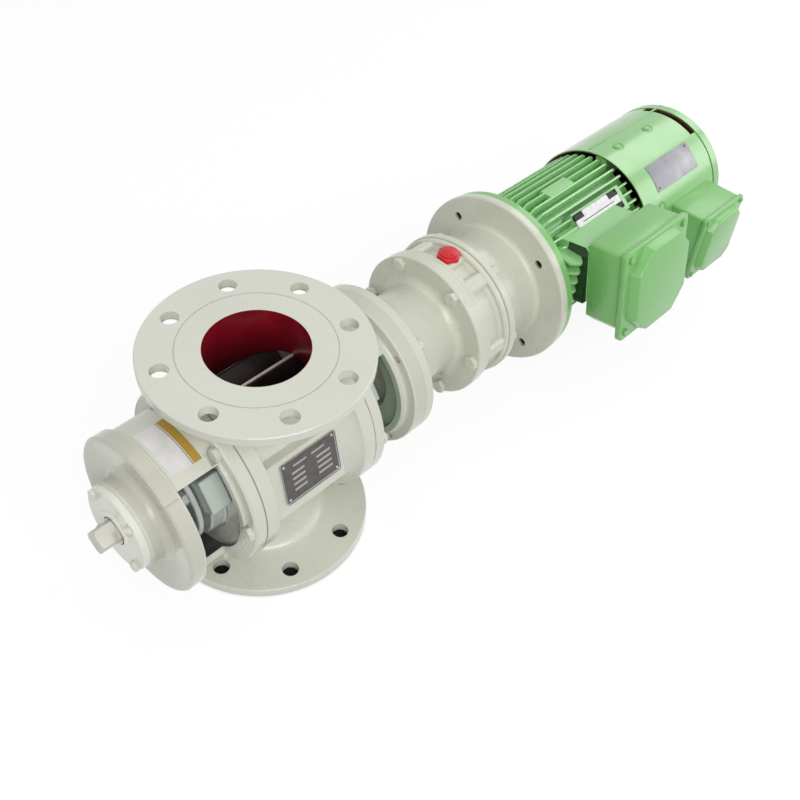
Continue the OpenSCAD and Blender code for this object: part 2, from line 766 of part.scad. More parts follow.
module ring_housing() color([0.76, 0.76, 0.70])
    difference() {
        union() {
            turned([[0, ring_x], [case_r - 2, ring_x], [case_r - 1, ring_x + 1], [case_r - 1, ring_x + rim_t - 1.5],
                [case_r - 2.5, ring_x + rim_t], [ring_core_r + 3, ring_x + rim_t], [ring_core_r, ring_x + rim_t + 3],
                [ring_core_r, adapter_x - rim_t - 3], [ring_core_r + 3, adapter_x - rim_t],
                [case_r - 2.5, adapter_x - rim_t], [case_r - 1, adapter_x - rim_t + 1.5],
                [case_r - 1, adapter_x - 1], [case_r - 2, adapter_x], [0, adapter_x]]);
            for (i = [0:5])
                tangent_pad(i * 60, ring_core_r - 4, case_r - 2.5, ring_x + 1, adapter_x - 1, -9, 9, 3);
            tangent_pad(90, ring_core_r - 4, case_r - 4, ring_x + 6, adapter_x - 6, -13, 13, 3);
            tangent_pad(-90, ring_core_r - 4, case_r - 6, ring_x + 10, adapter_x - 10, -11, 11, 3);
        }
        bar(ring_r, ring_x - 1, adapter_x + 1);
        ring_pin_places(ring_x - 1) cylinder(d = ring_pin_d + 2 * fixed_gap, h = ring_l + 2);
        case_bolt_places(ring_x - 1) cylinder(r = 4.5, h = ring_l + 2);
        at_angle(90) translate([ring_mid, -case_r, 0]) rotate([-90, 0, 0]) cylinder(r = 6 + fixed_gap, h = 40);
        at_angle(-90) translate([ring_mid, -case_r, 0]) rotate([-90, 0, 0]) cylinder(r = 5 + fixed_gap, h = 40);
    }

ring_mid = ring_x + ring_l / 2;

module ring_pin_places(x) {
    pattern(ring_pins_n, ring_r, x) children();
}

module ring_pins() color([0.78, 0.79, 0.80])
    ring_pin_places(ring_x + 0.3) cylinder(d = ring_pin_d, h = ring_l - 0.6);

// Lobed outline that rolls on the ring pins, one lobe fewer than there are pins
function lobe_point(t) =
    let (n = ring_pins_n, rr = ring_pin_d / 2 + lobe_gap,
        s = atan2(sin((1 - n) * t), ring_r / (throw * n) - cos((1 - n) * t)))
    [ring_r * cos(t) - rr * cos(t + s) - throw * cos(n * t),
        -ring_r * sin(t) + rr * sin(t + s) + throw * sin(n * t)];

lobe_steps = 14;

// Disc in the plane of local X and Y, its bore centred on the eccentric
module cycloid_disc(x, side) {
    translate([x, 0, axis_h])
        rotate([0, 90, 0])
            rotate([0, 0, 90])
                translate([side * throw, 0, 0])
                    difference() {
                        rotate([0, 0, side > 0 ? 0 : 180])
                            linear_extrude(disc_w)
                                polygon([for (i = [0:ratio * lobe_steps - 1])
                                    lobe_point(i * 360 / (ratio * lobe_steps))]);
                        translate([0, 0, -1]) cylinder(r = cam_bore_r, h = disc_w + 2);
                        for (i = [0:output_pins - 1])
                            rotate([0, 0, i * 360 / output_pins])
                                translate([output_r, 0, -1])
                                    cylinder(r = output_roller_r + throw + 0.15, h = disc_w + 2);
                    }
}

module cycloid_disc_a() color([0.68, 0.69, 0.70]) cycloid_disc(disc_a_x, 1);
module cycloid_disc_b() color([0.62, 0.63, 0.64]) cycloid_disc(disc_b_x, -1);

// The cams lie half a turn apart along Y
module cam_place(x, side) {
    translate([x, side * throw, axis_h]) rotate([0, 90, 0]) children();
}

module eccentric_sleeve() color([0.66, 0.67, 0.68])
    difference() {
        union() {
            bar(13, disc_a_x - 2, disc_b_x + disc_w + 2);
            cam_place(disc_a_x, 1) cylinder(r = cam_r, h = disc_w);
            cam_place(disc_b_x, -1) cylinder(r = cam_r, h = disc_w);
        }
        bar(motor_shaft_d / 2 + fixed_gap, disc_a_x - 3, disc_b_x + disc_w + 3);
    }

module eccentric_rollers() color([0.78, 0.79, 0.80])
    for (k = [[disc_a_x, 1], [disc_b_x, -1]])
        cam_place(k[0] + 1, k[1])
            for (i = [0:11])
                rotate([0, 0, i * 30])
                    translate([cam_r + cam_roller_r + running_gap, 0, 0]) cylinder(r = cam_roller_r, h = disc_w - 2);

module case_bolts() color([0.78, 0.78, 0.72])
    case_bolt_places(case_x) {
        hex_head(14, 6);
        translate([0, 0, -0.5]) cylinder(r = 4, h = case_flange_t + ring_l + adapter_flange_t + 9);
        translate([0, 0, case_flange_t + ring_l + adapter_flange_t]) hex_nut(13, 6.5);
    }

module breather_plug() color([0.90, 0.16, 0.20])
    at_angle(90)
        translate([ring_mid, -case_r + 4, 0])
            rotate([90, 0, 0]) {
                translate([0, 0, -8]) cylinder(r = 6, h = 9);
                cylinder(r = 11, h = 3, $fn = 6);
                translate([0, 0, 2.5]) cylinder(r = 9.2, h = 6);
                translate([0, 0, 8]) cylinder(r = 6.5, h = 2.5);
            }

module drain_plug() color([0.6, 0.6, 0.58])
    at_angle(-90)
        translate([ring_mid, -case_r + 6, 0])
            rotate([90, 0, 0]) {
                translate([0, 0, -8]) cylinder(r = 5, h = 9);
                cylinder(r = 8, h = 4, $fn = 6);
            }

module motor_adapter() color([0.76, 0.76, 0.70])
    difference() {
        turned(concat([[0, adapter_x], [case_r - 0.5, adapter_x], [case_r + 0.5, adapter_x + 1],
            [case_r + 0.5, adapter_x + adapter_flange_t - 1], [case_r - 0.5, adapter_x + adapter_flange_t],
            [adapter_hub_d / 2 + 1, adapter_x + adapter_flange_t], [adapter_hub_d / 2, adapter_x + adapter_flange_t + 1]],
            arc(adapter_hub_d / 2 + 4, motor_x - adapter_disc_t - 6, 6, 180, 90, 5),
            [[adapter_d / 2 - 1.5, motor_x - adapter_disc_t], [adapter_d / 2, motor_x - adapter_disc_t + 1.5],
            [adapter_d / 2, motor_x], [0, motor_x]]));
        bar(motor_shaft_d / 2 + 2, adapter_x - 1, motor_x);
        bar(18 + fixed_gap, adapter_x + 3, adapter_x + 11);
        bar(motor_spigot_d / 2 - 11, adapter_x + adapter_flange_t + 6, motor_x);
        bar(motor_spigot_d / 2, motor_x - 5, motor_x + 1);
        case_bolt_places(adapter_x - 1) cylinder(r = 4.5, h = adapter_flange_t + 2);
        case_bolt_places(adapter_x + adapter_flange_t) cylinder(r = 8.6, h = 10);
        pattern(4, motor_pcd / 2, motor_x - adapter_disc_t - 1, 45) cylinder(r = 5 + fixed_gap, h = adapter_disc_t + 2);
    }

module input_seal() color([0.12, 0.12, 0.12])
    ring(18, motor_shaft_d / 2 + running_gap, adapter_x + 3.1, adapter_x + 10.9);

// ---- Motor ----

motor_ball_r = 4;
motor_pitch_r = (2 * motor_journal_r + motor_bearing_d) / 4;

module motor_flange() color([0.50, 0.74, 0.47])
    difference() {
        turned(concat([[0, motor_x - 4], [motor_spigot_d / 2 - fixed_gap, motor_x - 4],
            [motor_spigot_d / 2 - fixed_gap, motor_x], [motor_flange_d / 2, motor_x],
            [motor_flange_d / 2, motor_x + motor_flange_t - 1], [motor_flange_d / 2 - 1, motor_x + motor_flange_t]],
            arc(fin_root_d / 2 + 6, motor_x + motor_flange_t + 2, 2, 270, 180, 4),
            [[fin_root_d / 2 + 4, frame_x], [frame_bore_r - fixed_gap, frame_x],
            [frame_bore_r - fixed_gap, frame_x + 4], [0, frame_x + 4]]));
        bar(motor_journal_r + 2, motor_x - 5, frame_x + 5);
        bar(motor_bearing_d / 2 + fixed_gap, motor_bearing_x, frame_x + 5);
        bar(motor_spigot_d / 2 - 12, frame_x - 8, frame_x + 5);
        pattern(4, motor_pcd / 2, motor_x - 1, 45) cylinder(r = 5.5, h = motor_flange_t + 2);
    }

module motor_flange_bolts() color([0.50, 0.74, 0.47])
    pattern(4, motor_pcd / 2, motor_x + motor_flange_t, 45) {
        mirror([0, 0, 1]) hex_head(16, 6.4);
        translate([0, 0, -motor_flange_t - 5]) cylinder(r = 5, h = motor_flange_t + 5.5);
    }

// Where the terminal box stands on the frame, counted along the shaft
box_x = frame_x + 6;
box_up = box_h / 2 + 7;
box_down = box_h / 2 - 7;
box_seat_r = 96;
small_x = cover_front + 34;
plate_angle = 52;

module motor_frame() color([0.48, 0.72, 0.45])
    difference() {
        union() {
            bar(fin_root_d / 2, frame_x, frame_end);
            intersection() {
                turned([[0, frame_x + 1], [fin_root_d / 2 + 2, frame_x + 1], [fin_r, frame_x + 20],
                    [fin_r, frame_end - 3], [fin_r - 2, frame_end], [0, frame_end]]);
                for (i = [0:fins - 1])
                    tangent_block(plate_angle + i * 360 / fins, fin_root_d / 2 - 3, fin_r + 1, frame_x, frame_end, -fin_t / 2, fin_t / 2);
            }
            tangent_pad(box_tilt, 50, box_seat_r, box_x + 14, box_x + box_w - 14, -22, box_up - 8, 4);
            tangent_pad(plate_angle, 50, fin_r, frame_x + 50, frame_x + 140, -16, 16, 1);
            tangent_pad(92, 50, fin_r - 0.5, frame_x + 52, frame_x + 96, -9, 9, 2);
        }
        bar(frame_bore_r, frame_x - 1, frame_end + 1);
        at_angle(box_tilt) translate([box_x + box_w / 2, 0, 10]) rotate([90, 0, 0]) cylinder(r = 16, h = box_seat_r + 1);
    }

stator_x = frame_x + 28;
stator_l = 100;
core_r = 39.5;

module stator() color([0.62, 0.40, 0.26]) {
    ring(frame_bore_r - fixed_gap, core_r + 0.4, stator_x, stator_x + stator_l);
    for (x = [stator_x - 12.2, stator_x + stator_l + 0.2])
        ring(frame_bore_r - 4, core_r + 4, x, x + 12);
}

module motor_rotor() color([0.60, 0.61, 0.62])
    difference() {
        union() {
            bar(core_r, stator_x, stator_x + stator_l);
            bar(core_r - 4, stator_x - 7, stator_x + stator_l + 7);
        }
        bar(15 + fixed_gap, stator_x - 8, stator_x + stator_l + 8);
    }

module motor_shaft() color([0.72, 0.73, 0.74])
    turned([[0, disc_a_x - 2], [motor_shaft_d / 2 - 1, disc_a_x - 2], [motor_shaft_d / 2, disc_a_x - 1],
        [motor_shaft_d / 2, motor_bearing_x - 1], [motor_journal_r - fixed_gap, motor_bearing_x - 1],
        [motor_journal_r - fixed_gap, motor_bearing_x + motor_bearing_w], [15, motor_bearing_x + motor_bearing_w],
        [15, rear_bearing_x], [motor_journal_r - fixed_gap, rear_bearing_x],
        [motor_journal_r - fixed_gap, rear_bearing_x + motor_bearing_w + 2], [0, rear_bearing_x + motor_bearing_w + 2]]);

module motor_bearing_outers() color([0.7, 0.71, 0.72])
    for (x = [motor_bearing_x, rear_bearing_x])
        bearing_outer(motor_bearing_d, motor_bearing_w, motor_ball_r, motor_pitch_r, x);

module motor_bearing_inners() color([0.7, 0.71, 0.72])
    for (x = [motor_bearing_x, rear_bearing_x]) {
        bearing_inner(2 * motor_journal_r, motor_bearing_w, motor_ball_r, motor_pitch_r, x);
        bearing_balls(8, motor_ball_r, motor_pitch_r, x + motor_bearing_w / 2);
    }

lug_angles = [92, 204, 272, 24];
arm_angles = [92, 182, 272];
lug_x = frame_end + 32;
arm_x = cover_front + 94;
screw_seat_r = fan_cover_r - 0.7;

module rear_shield() color([0.48, 0.72, 0.45])
    difference() {
        union() {
            turned([[0, frame_end - 6], [frame_bore_r - fixed_gap, frame_end - 6],
                [frame_bore_r - fixed_gap, frame_end], [fin_root_d / 2, frame_end],
                [fin_root_d / 2, frame_end + 5], [motor_bearing_d / 2 + 8, frame_end + 12], [0, frame_end + 12]]);
            for (a = lug_angles)
                tangent_block(a, fin_root_d / 2 - 12, fan_cover_r - sheet_t - 0.3, frame_end + 1, frame_end + 40, -7, 7);
        }
        bar(motor_journal_r + 2, frame_end - 7, frame_end + 11);
        bar(motor_bearing_d / 2 + fixed_gap, frame_end - 7, rear_bearing_x + motor_bearing_w + 0.2);
        for (a = lug_angles)
            at_angle(a) translate([lug_x, -fan_cover_r, 0]) rotate([-90, 0, 0]) cylinder(r = 2.5 + fixed_gap, h = 13);
    }

// Rolled sheet with a lap seam, grille slots and the air slot at the top of the rear rim
module fan_cover() color([0.56, 0.80, 0.52])
    difference() {
        union() {
            tangent_block(106, fan_cover_r - 1, fan_cover_r + 0.9, cover_front + 6, cover_rear - 18, -1.3, 1.3);
            turned(concat([[fan_cover_r - sheet_t, cover_front], [fan_cover_r, cover_front]],
                arc(fan_cover_r - 9, cover_rear - 9, 9, 0, 90, 6),
                [[0, cover_rear], [0, cover_rear - sheet_t]],
                arc(fan_cover_r - 9, cover_rear - 9, 9 - sheet_t, 90, 0, 6)));
        }
        for (band = [[44, 54], [58, 68]])
            difference() {
                ring(band[1], band[0], cover_rear - 5, cover_rear + 1);
                for (a = [0:30:150]) tangent_block(a, -90, 90, cover_rear - 6, cover_rear + 2, -3, 3);
            }
        intersection() {
            ring(fan_cover_r + 5, fan_cover_r - sheet_t - 1, cover_rear - 16, cover_rear - 5);
            wedge(64, 116, fan_cover_r + 10, cover_rear - 20, cover_rear);
        }
        cover_screw_places() {
            cylinder(r = 3, h = 4, center = true);
            cylinder(r = 9, h = 4);
        }
        fan_motor_screws() cylinder(r = 2.2, h = 8);
    }

// Seats of the radial screws that hold the fan cover and the fan motor's arms
module cover_screw_places() {
    for (k = concat([for (a = lug_angles) [a, lug_x]], [for (a = arm_angles) [a, arm_x]]))
        at_angle(k[0]) translate([k[1], -screw_seat_r, 0]) rotate([90, 0, 0]) children();
}

module fan_motor_screws() {
    pattern(4, 30, cover_rear - 6, 45) children();
}

module fan_cover_screws() color([0.60, 0.82, 0.56])
    cover_screw_places() {
        translate([0, 0, 0.02])
            intersection() {
                cylinder(r = 4.4, h = 2.4);
                translate([0, 0, -5.6]) sphere(r = 8);
            }
        translate([0, 0, -10]) cylinder(r = 2.5, h = 10.5);
    }

fan_x = cover_front + 50;
fan_hub_l = 30;
fan_motor_x = fan_x + fan_hub_l + 8;

module fan_motor() color([0.2, 0.2, 0.2])
    difference() {
        union() {
            bar(36, fan_motor_x, cover_rear - sheet_t - 0.02);
            for (a = arm_angles)
                tangent_block(a, 30, fan_cover_r - sheet_t - 0.3, fan_motor_x + 1, fan_motor_x + 11, -6, 6);
            fan_motor_screws() cylinder(r = 2.1, h = 6);
            fan_motor_screws() translate([0, 0, 6.02]) cylinder(r = 4, h = 1.6);
        }
        bar(4 + running_gap, fan_motor_x - 1, fan_motor_x + 20);
        for (a = arm_angles)
            at_angle(a) translate([arm_x, -fan_cover_r, 0]) rotate([-90, 0, 0]) cylinder(r = 2.5 + fixed_gap, h = 13);
    }

module cooling_fan() color([0.25, 0.25, 0.25]) {
    bar(16, fan_x, fan_x + fan_hub_l);
    bar(4, fan_x + 1, fan_motor_x + 18);
    for (i = [0:6])
        at_angle(i * 360 / 7)
            translate([fan_x + fan_hub_l / 2, -12, 0])
                rotate([0, 38, 0])
                    translate([-15, -61, -1]) cube([30, 61, 2]);
}

// ---- Terminal boxes ----

lid_t = 7;
box_wall = 4;
box_depth = box_reach - lid_t - box_seat_r - 0.02;
panel_h = 12;
small_lid_t = 5;

// Box outline at the seat, with its lower corners cut back
module box_outline(w, up, down, cut) {
    polygon([[0, -down + cut], [cut, -down], [w - cut, -down], [w, -down + cut],
        [w, up - 5], [w - 5, up], [5, up], [0, up - 5]]);
}

module terminal_box() color([0.52, 0.77, 0.49])
    at_angle(box_tilt)
        translate([box_x, -box_seat_r, 0])
            rotate([90, 0, 0])
                difference() {
                    union() {
                        linear_extrude(box_depth)
                            translate([3, 0]) box_outline(box_w - 6, box_up - 3, box_down - 3, 14);
                        box_screw_places() translate([0, 0, box_depth - 12]) cylinder(r = 5.5, h = 12);
                    }
                    difference() {
                        translate([0, 0, box_wall])
                            linear_extrude(80)
                                translate([3 + box_wall, 0])
                                    box_outline(box_w - 6 - 2 * box_wall, box_up - 3 - box_wall, box_down - 3 - box_wall, 14);
                        box_screw_places() translate([0, 0, box_depth - 12]) cylinder(r = 5.5, h = 12);
                    }
                    translate([box_w / 2, 10, -1]) cylinder(r = 14, h = 10);
                    box_screw_places() translate([0, 0, box_depth - 9]) cylinder(r = 2.5 + fixed_gap, h = 10);
                }

module box_screw_places() {
    for (x = [10, box_w - 10], u = [-box_down + 10, box_up - 10]) translate([x, u, 0]) children();
}

module terminal_lid() color([0.55, 0.80, 0.52])
    at_angle(box_tilt)
        translate([box_x, -box_reach + lid_t, 0])
            rotate([90, 0, 0])
                difference() {
                    union() {
                        linear_extrude(lid_t) rounded(0, box_w, -box_down, box_up, 7);
                        translate([0, 0, lid_t]) lid_panel(box_w, box_up, box_down, 12.5, 5.5, 25, panel_h);
                    }
                    box_screw_places() translate([0, 0, -1]) cylinder(r = 2.6, h = 20);
                }

// Raised middle of a lid with cut corners and sloping sides
module lid_panel(w, up, down, side, ends, cut, h) {
    hull() {
        translate([0, 0, -0.5])
            linear_extrude(0.5)
                polygon(lid_points(w, up, down, side - 4, ends - 3, cut));
        translate([0, 0, h - 0.5])
            linear_extrude(0.5)
                polygon(lid_points(w, up, down, side, ends, cut));
    }
}

function lid_points(w, up, down, i, k, c) = [
    [i, -down + k + c], [i + c, -down + k], [w - i - c, -down + k], [w - i, -down + k + c],
    [w - i, up - k - c], [w - i - c, up - k], [i + c, up - k], [i, up - k - c]];

module terminal_lid_screws() color([0.50, 0.70, 0.46])
    at_angle(box_tilt)
        translate([box_x, -box_reach, 0])
            rotate([90, 0, 0])
                box_screw_places() {
                    cylinder(r = 4.2, h = 3.2);
                    translate([0, 0, -lid_t - 8]) cylinder(r = 2.5, h = lid_t + 8.5);
                }

module terminal_block() color([0.35, 0.15, 0.10])
    at_angle(box_tilt)
        translate([box_x + box_w / 2 - 24, -box_seat_r - box_wall - 0.02, 0])
            rotate([90, 0, 0]) {
                translate([0, -26, 0]) cube([48, 20, 12]);
                for (x = [8, 24, 40]) translate([x, -16, 11]) cylinder(r = 2.5, h = 8);
            }

module fan_terminal_box() color([0.54, 0.79, 0.50])
    difference() {
        tangent_pad(0, 70, small_reach - small_lid_t - 0.02, small_x + 3, small_x + small_w - 3, -small_h / 2 + 2, small_h / 2 - 4, 2);
        bar(fan_cover_r + 0.02, cover_front - 1, cover_rear + 1);
        tangent_block(0, fan_cover_r + 6, small_reach, small_x + 7, small_x + small_w - 7, -small_h / 2 + 6, small_h / 2 - 8);
    }

module fan_terminal_lid() color([0.55, 0.80, 0.52])
    translate([small_x, -small_reach + small_lid_t, axis_h - 1])
        rotate([90, 0, 0]) {
            linear_extrude(small_lid_t) rounded(0, small_w, -small_h / 2, small_h / 2, 6);
            translate([0, 0, small_lid_t]) lid_panel(small_w, small_h / 2, small_h / 2, 12, 9, 12, 8);
        }

housing();
outboard_cover();
drive_cover();
outboard_gasket();
drive_gasket();
outboard_cover_bolts();
drive_cover_bolts();
outboard_packing();
drive_packing();
outboard_gland();
drive_gland();
outboard_gland_studs();
drive_gland_studs();
outboard_bearing_outer();
outboard_bearing_inner();
outboard_bearing_balls();
bearing_cap();
bearing_cap_bolts();
shaft_seal();
rotor();
rotor_shaft();
rotor_keys();
reducer_housing();
foot_bolts();
output_shaft();
output_pins();
output_rollers();
output_bearing_outers();
output_bearing_inners();
output_seal();
ring_housing();
ring_pins();
cycloid_disc_a();
cycloid_disc_b();
eccentric_sleeve();
eccentric_rollers();
case_bolts();
breather_plug();
drain_plug();
motor_adapter();
input_seal();
motor_flange();
motor_flange_bolts();
motor_frame();
stator();
motor_rotor();
motor_shaft();
motor_bearing_outers();
motor_bearing_inners();
rear_shield();
fan_cover();
fan_cover_screws();
fan_motor();
cooling_fan();
terminal_box();
terminal_lid();
terminal_lid_screws();
terminal_block();
fan_terminal_box();
fan_terminal_lid();
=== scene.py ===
"""Looks of a rotary airlock valve with its cycloidal gear motor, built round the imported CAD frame.

Metres. X runs along the rotor shaft to the motor, Z up through the ports, and the front is at -Y.
"""
import functools
import json
import math

import bpy
from mathutils import Matrix, Vector


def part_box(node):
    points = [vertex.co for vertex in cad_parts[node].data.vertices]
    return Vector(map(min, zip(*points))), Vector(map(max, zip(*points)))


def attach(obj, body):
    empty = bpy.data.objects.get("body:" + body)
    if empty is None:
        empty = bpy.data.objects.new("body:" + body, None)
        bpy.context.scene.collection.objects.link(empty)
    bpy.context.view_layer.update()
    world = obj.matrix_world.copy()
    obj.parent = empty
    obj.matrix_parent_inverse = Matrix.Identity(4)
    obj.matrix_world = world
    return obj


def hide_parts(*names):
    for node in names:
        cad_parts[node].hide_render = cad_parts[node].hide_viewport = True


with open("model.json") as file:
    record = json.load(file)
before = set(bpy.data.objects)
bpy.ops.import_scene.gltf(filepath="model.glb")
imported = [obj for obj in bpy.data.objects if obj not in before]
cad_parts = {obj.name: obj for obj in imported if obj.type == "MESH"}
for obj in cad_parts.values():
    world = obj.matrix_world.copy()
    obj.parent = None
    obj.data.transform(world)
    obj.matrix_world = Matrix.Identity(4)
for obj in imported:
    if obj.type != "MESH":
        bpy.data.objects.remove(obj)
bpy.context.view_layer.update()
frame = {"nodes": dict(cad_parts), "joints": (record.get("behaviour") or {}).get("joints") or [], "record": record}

MM = 0.001
AXIS_Z = next(joint["pos_m"][2] for joint in frame["joints"] if joint["name"] == "rotor_spin")

# The solids that the scene's own pieces are set out from
frame_lo, frame_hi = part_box("motor_frame")
cover_lo, cover_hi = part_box("fan_cover")
vent_lo, vent_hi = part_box("breather_plug")
FRAME_R = (frame_hi.z - frame_lo.z) / 2
COVER_R = (cover_hi.z - cover_lo.z) / 2
SEAT_X = frame_lo.x + 20 * MM  # front end of the seat of the terminal box


# ---- Colours ----


def linear(r, g, b):
    """Screen colour 0-255 to the linear colour that sockets take."""
    def channel(c):
        c /= 255.0
        return c / 12.92 if c <= 0.04045 else ((c + 0.055) / 1.055) ** 2.4
    return (channel(r), channel(g), channel(b), 1.0)


def grey(value):
    return (value, value, value, 1.0)


def shade(colour, factor):
    """The same colour, darker or lighter."""
    return tuple(min(1.0, c * factor) for c in colour[:3]) + (1.0,)


CREAM = linear(221, 222, 209)
# A lighter copy of the cream, as painted light on the bearing cap:
CREAM_PAINTED_LIGHTER = linear(240, 240, 230)
STONE = linear(215, 218, 200)
LEAF = linear(130, 196, 114)
# A lighter copy of the leaf green, as painted light on the frame and its fins:
LEAF_PAINTED_LIGHTER = linear(146, 210, 134)
PRIMER = linear(192, 202, 193)
PALE_PRIMER = linear(206, 212, 206)
RUST_PRIMER = linear(104, 62, 44)
# Painted shade, a dark green, for the gaps between the frame's fins:
FIN_GAP_SHADE = linear(24, 52, 22)
# Painted shade, a dark grey, for the corners of steel parts:
CORNER_SHADE_COLOUR = linear(40, 38, 35)


# ---- Building materials ----


class Nodes:
    """A node tree under construction: nodes are added by kind and wired by socket."""

    def __init__(self, tree):
        self.tree = tree

    def add(self, kind, inputs=None, **settings):
        """Adds a node. inputs maps its sockets to numbers, colours or other nodes' outputs."""
        node = self.tree.nodes.new(kind)
        for key, value in settings.items():
            setattr(node, key, value)
        for key, value in (inputs or {}).items():
            self.put(node.inputs[key], value)
        return node

    def put(self, socket, value):
        if isinstance(value, bpy.types.NodeSocket):
            self.tree.links.new(value, socket)
        else:
            socket.default_value = value

    def math(self, operation, a, b=0.0):
        return self.add("ShaderNodeMath", {0: a, 1: b}, operation=operation).outputs[0]

    def squares(self, a, b):
        """a squared plus b squared."""
        return self.math("ADD", self.math("MULTIPLY", a, a), self.math("MULTIPLY", b, b))

    def over(self, value, limit):
        return self.math("GREATER_THAN", value, limit)

    def under(self, value, limit):
        return self.math("LESS_THAN", value, limit)

    def between(self, value, low, high):
        return self.both(self.over(value, low), self.under(value, high))

    def both(self, *masks):
        """The product of the masks: 1 where every one is 1."""
        return functools.reduce(lambda a, b: self.math("MULTIPLY", a, b), masks)

    def either(self, *masks):
        """The highest of the masks: 1 where any one is 1."""
        return functools.reduce(lambda a, b: self.math("MAXIMUM", a, b), masks)

    def looked_at(self):
        """1 for rays that see a thing, in metal and glass too, and 0 for rays that light it."""
        ray = self.add("ShaderNodeLightPath").outputs
        return self.either(ray["Is Camera Ray"], ray["Is Glossy Ray"], ray["Is Transmission Ray"])


class Finish(Nodes):
    """A material that follows each point's own place on the part."""

    def __init__(self, name):
        self.material = bpy.data.materials.new(name)
        self.material.use_nodes = True
        super().__init__(self.material.node_tree)
        self.shader = self.tree.nodes["Principled BSDF"]
        self.coords = self.add("ShaderNodeTexCoord").outputs["Object"]

    def place(self):
        """The point's X, Y and Z."""
        return self.add("ShaderNodeSeparateXYZ", {"Vector": self.coords}).outputs

    def round_the_shaft(self):
        """Distance from the shaft axis and place along it."""
        place = self.place()
        z = self.math("SUBTRACT", place["Z"], AXIS_Z)
        return self.math("SQRT", self.squares(place["Y"], z)), place["X"]

    def noise(self, scale, detail=3.0, roughness=0.5, stretch=None):
        vector = self.coords
        if stretch:
            vector = self.add("ShaderNodeMapping", {"Vector": vector, "Scale": stretch}).outputs["Vector"]
        inputs = {"Vector": vector, "Scale": scale, "Detail": detail, "Roughness": roughness}
        return self.add("ShaderNodeTexNoise", inputs).outputs["Fac"]

    def ramp(self, value, low, high, to_low=0.0, to_high=1.0):
        """Maps low to high onto to_low to to_high, and goes no further."""
        inputs = {"Value": value, "From Min": low, "From Max": high, "To Min": to_low, "To Max": to_high}
        return self.add("ShaderNodeMapRange", inputs).outputs["Result"]

    def vary(self, noise, low, high):
        """A value that wanders between low and high with the noise."""
        return self.ramp(noise, 0.3, 0.7, low, high)

    def mix(self, factor, a, b):
        """Colour a where the factor is 0, b where it is 1."""
        return self.add("ShaderNodeMix", {0: factor, 6: a, 7: b}, data_type="RGBA").outputs[2]

    def openness(self, distance):
        """1 on open faces, falling to 0 in corners, for painted shade there."""
        return self.add("ShaderNodeAmbientOcclusion", {"Distance": distance}, samples=6).outputs["AO"]

    def soft_edges(self, radius):
        return self.add("ShaderNodeBevel", {"Radius": radius}, samples=6).outputs["Normal"]

    def bump(self, height, distance, strength, base=None):
        inputs = {"Height": height, "Distance": distance, "Strength": strength}
        if base is not None:
            inputs["Normal"] = base
        return self.add("ShaderNodeBump", inputs).outputs["Normal"]

    def set(self, **values):
        """Sets the shader's inputs, with _ for the spaces in their names, and returns the material."""
        for key, value in values.items():
            self.put(self.shader.inputs[key.replace("_", " ")], value)
        return self.material


# ---- Paint, steel and plastic ----


def paint(name, colour, rough=0.28, cast=0.0, corner_shade=0.35, coat=0.5, edge=0.9 * MM, inside=None, shine=0.5):
    """Sprayed enamel, a little uneven, with painted shade in patches in the corners.

    cast is the depth of the cast skin under it, and inside recolours parts of the surface: primer that the spray
    missed, and painted shade."""
    f = Finish(name)
    clouds = f.ramp(f.noise(9.0, 4.0), 0.2, 0.8)
    specks = f.ramp(f.noise(70.0, 5.0, 0.6), 0.55, 0.85, 0.0, 0.12)
    # Painted shade: the colour darkens in corners and creases, found by ambient occlusion, in noise patches
    corners = f.ramp(f.openness(5 * MM), 0.25, 0.85, corner_shade, 0.0)
    patches = f.vary(f.noise(40.0, 4.0), 0.35, 1.0)
    base = f.mix(clouds, shade(colour, 0.95), shade(colour, 1.03))
    base = f.mix(specks, base, shade(colour, 0.8))
    base = f.mix(f.both(corners, patches), base, shade(colour, 0.33))
    if inside:
        base = inside(f, base)
    normal = f.bump(f.noise(420.0, 2.0), 0.05 * MM, 0.35, f.soft_edges(edge))
    if cast:
        normal = f.bump(f.noise(130.0, 6.0, 0.65), cast, 0.6, normal)
    return f.set(Base_Color=base, Roughness=f.vary(f.noise(25.0), rough - 0.05, rough + 0.09),
                 Coat_Weight=coat, Coat_Roughness=0.16, Normal=normal, Specular_IOR_Level=shine)


def throat_paint(f, base):
    """Red primer on the port bores and the inside of the rotor chamber, with painted shade that darkens it further
    down.
    """
    port_r, chamber_r, chamber_half = 50.2 * MM, 72.6 * MM, 68.5 * MM  # a hair past the walls
    shade_from, shade_to = AXIS_Z + 100 * MM, AXIS_Z + 62 * MM
    radius, x = f.round_the_shaft()
    place = f.place()
    port = f.under(f.squares(x, place["Y"]), port_r ** 2)
    chamber = f.both(f.under(radius, chamber_r), f.under(f.math("ABSOLUTE", x), chamber_half))
    red = f.mix(f.vary(f.noise(45.0, 5.0), 0.0, 1.0), linear(122, 12, 28), linear(146, 18, 34))
    # Painted shade: the red darkens towards the bottom of the bore
    red = f.mix(f.ramp(place["Z"], shade_to, shade_from, 0.8, 0.0), red, linear(34, 4, 8))
    return f.mix(f.either(port, chamber), base, red)


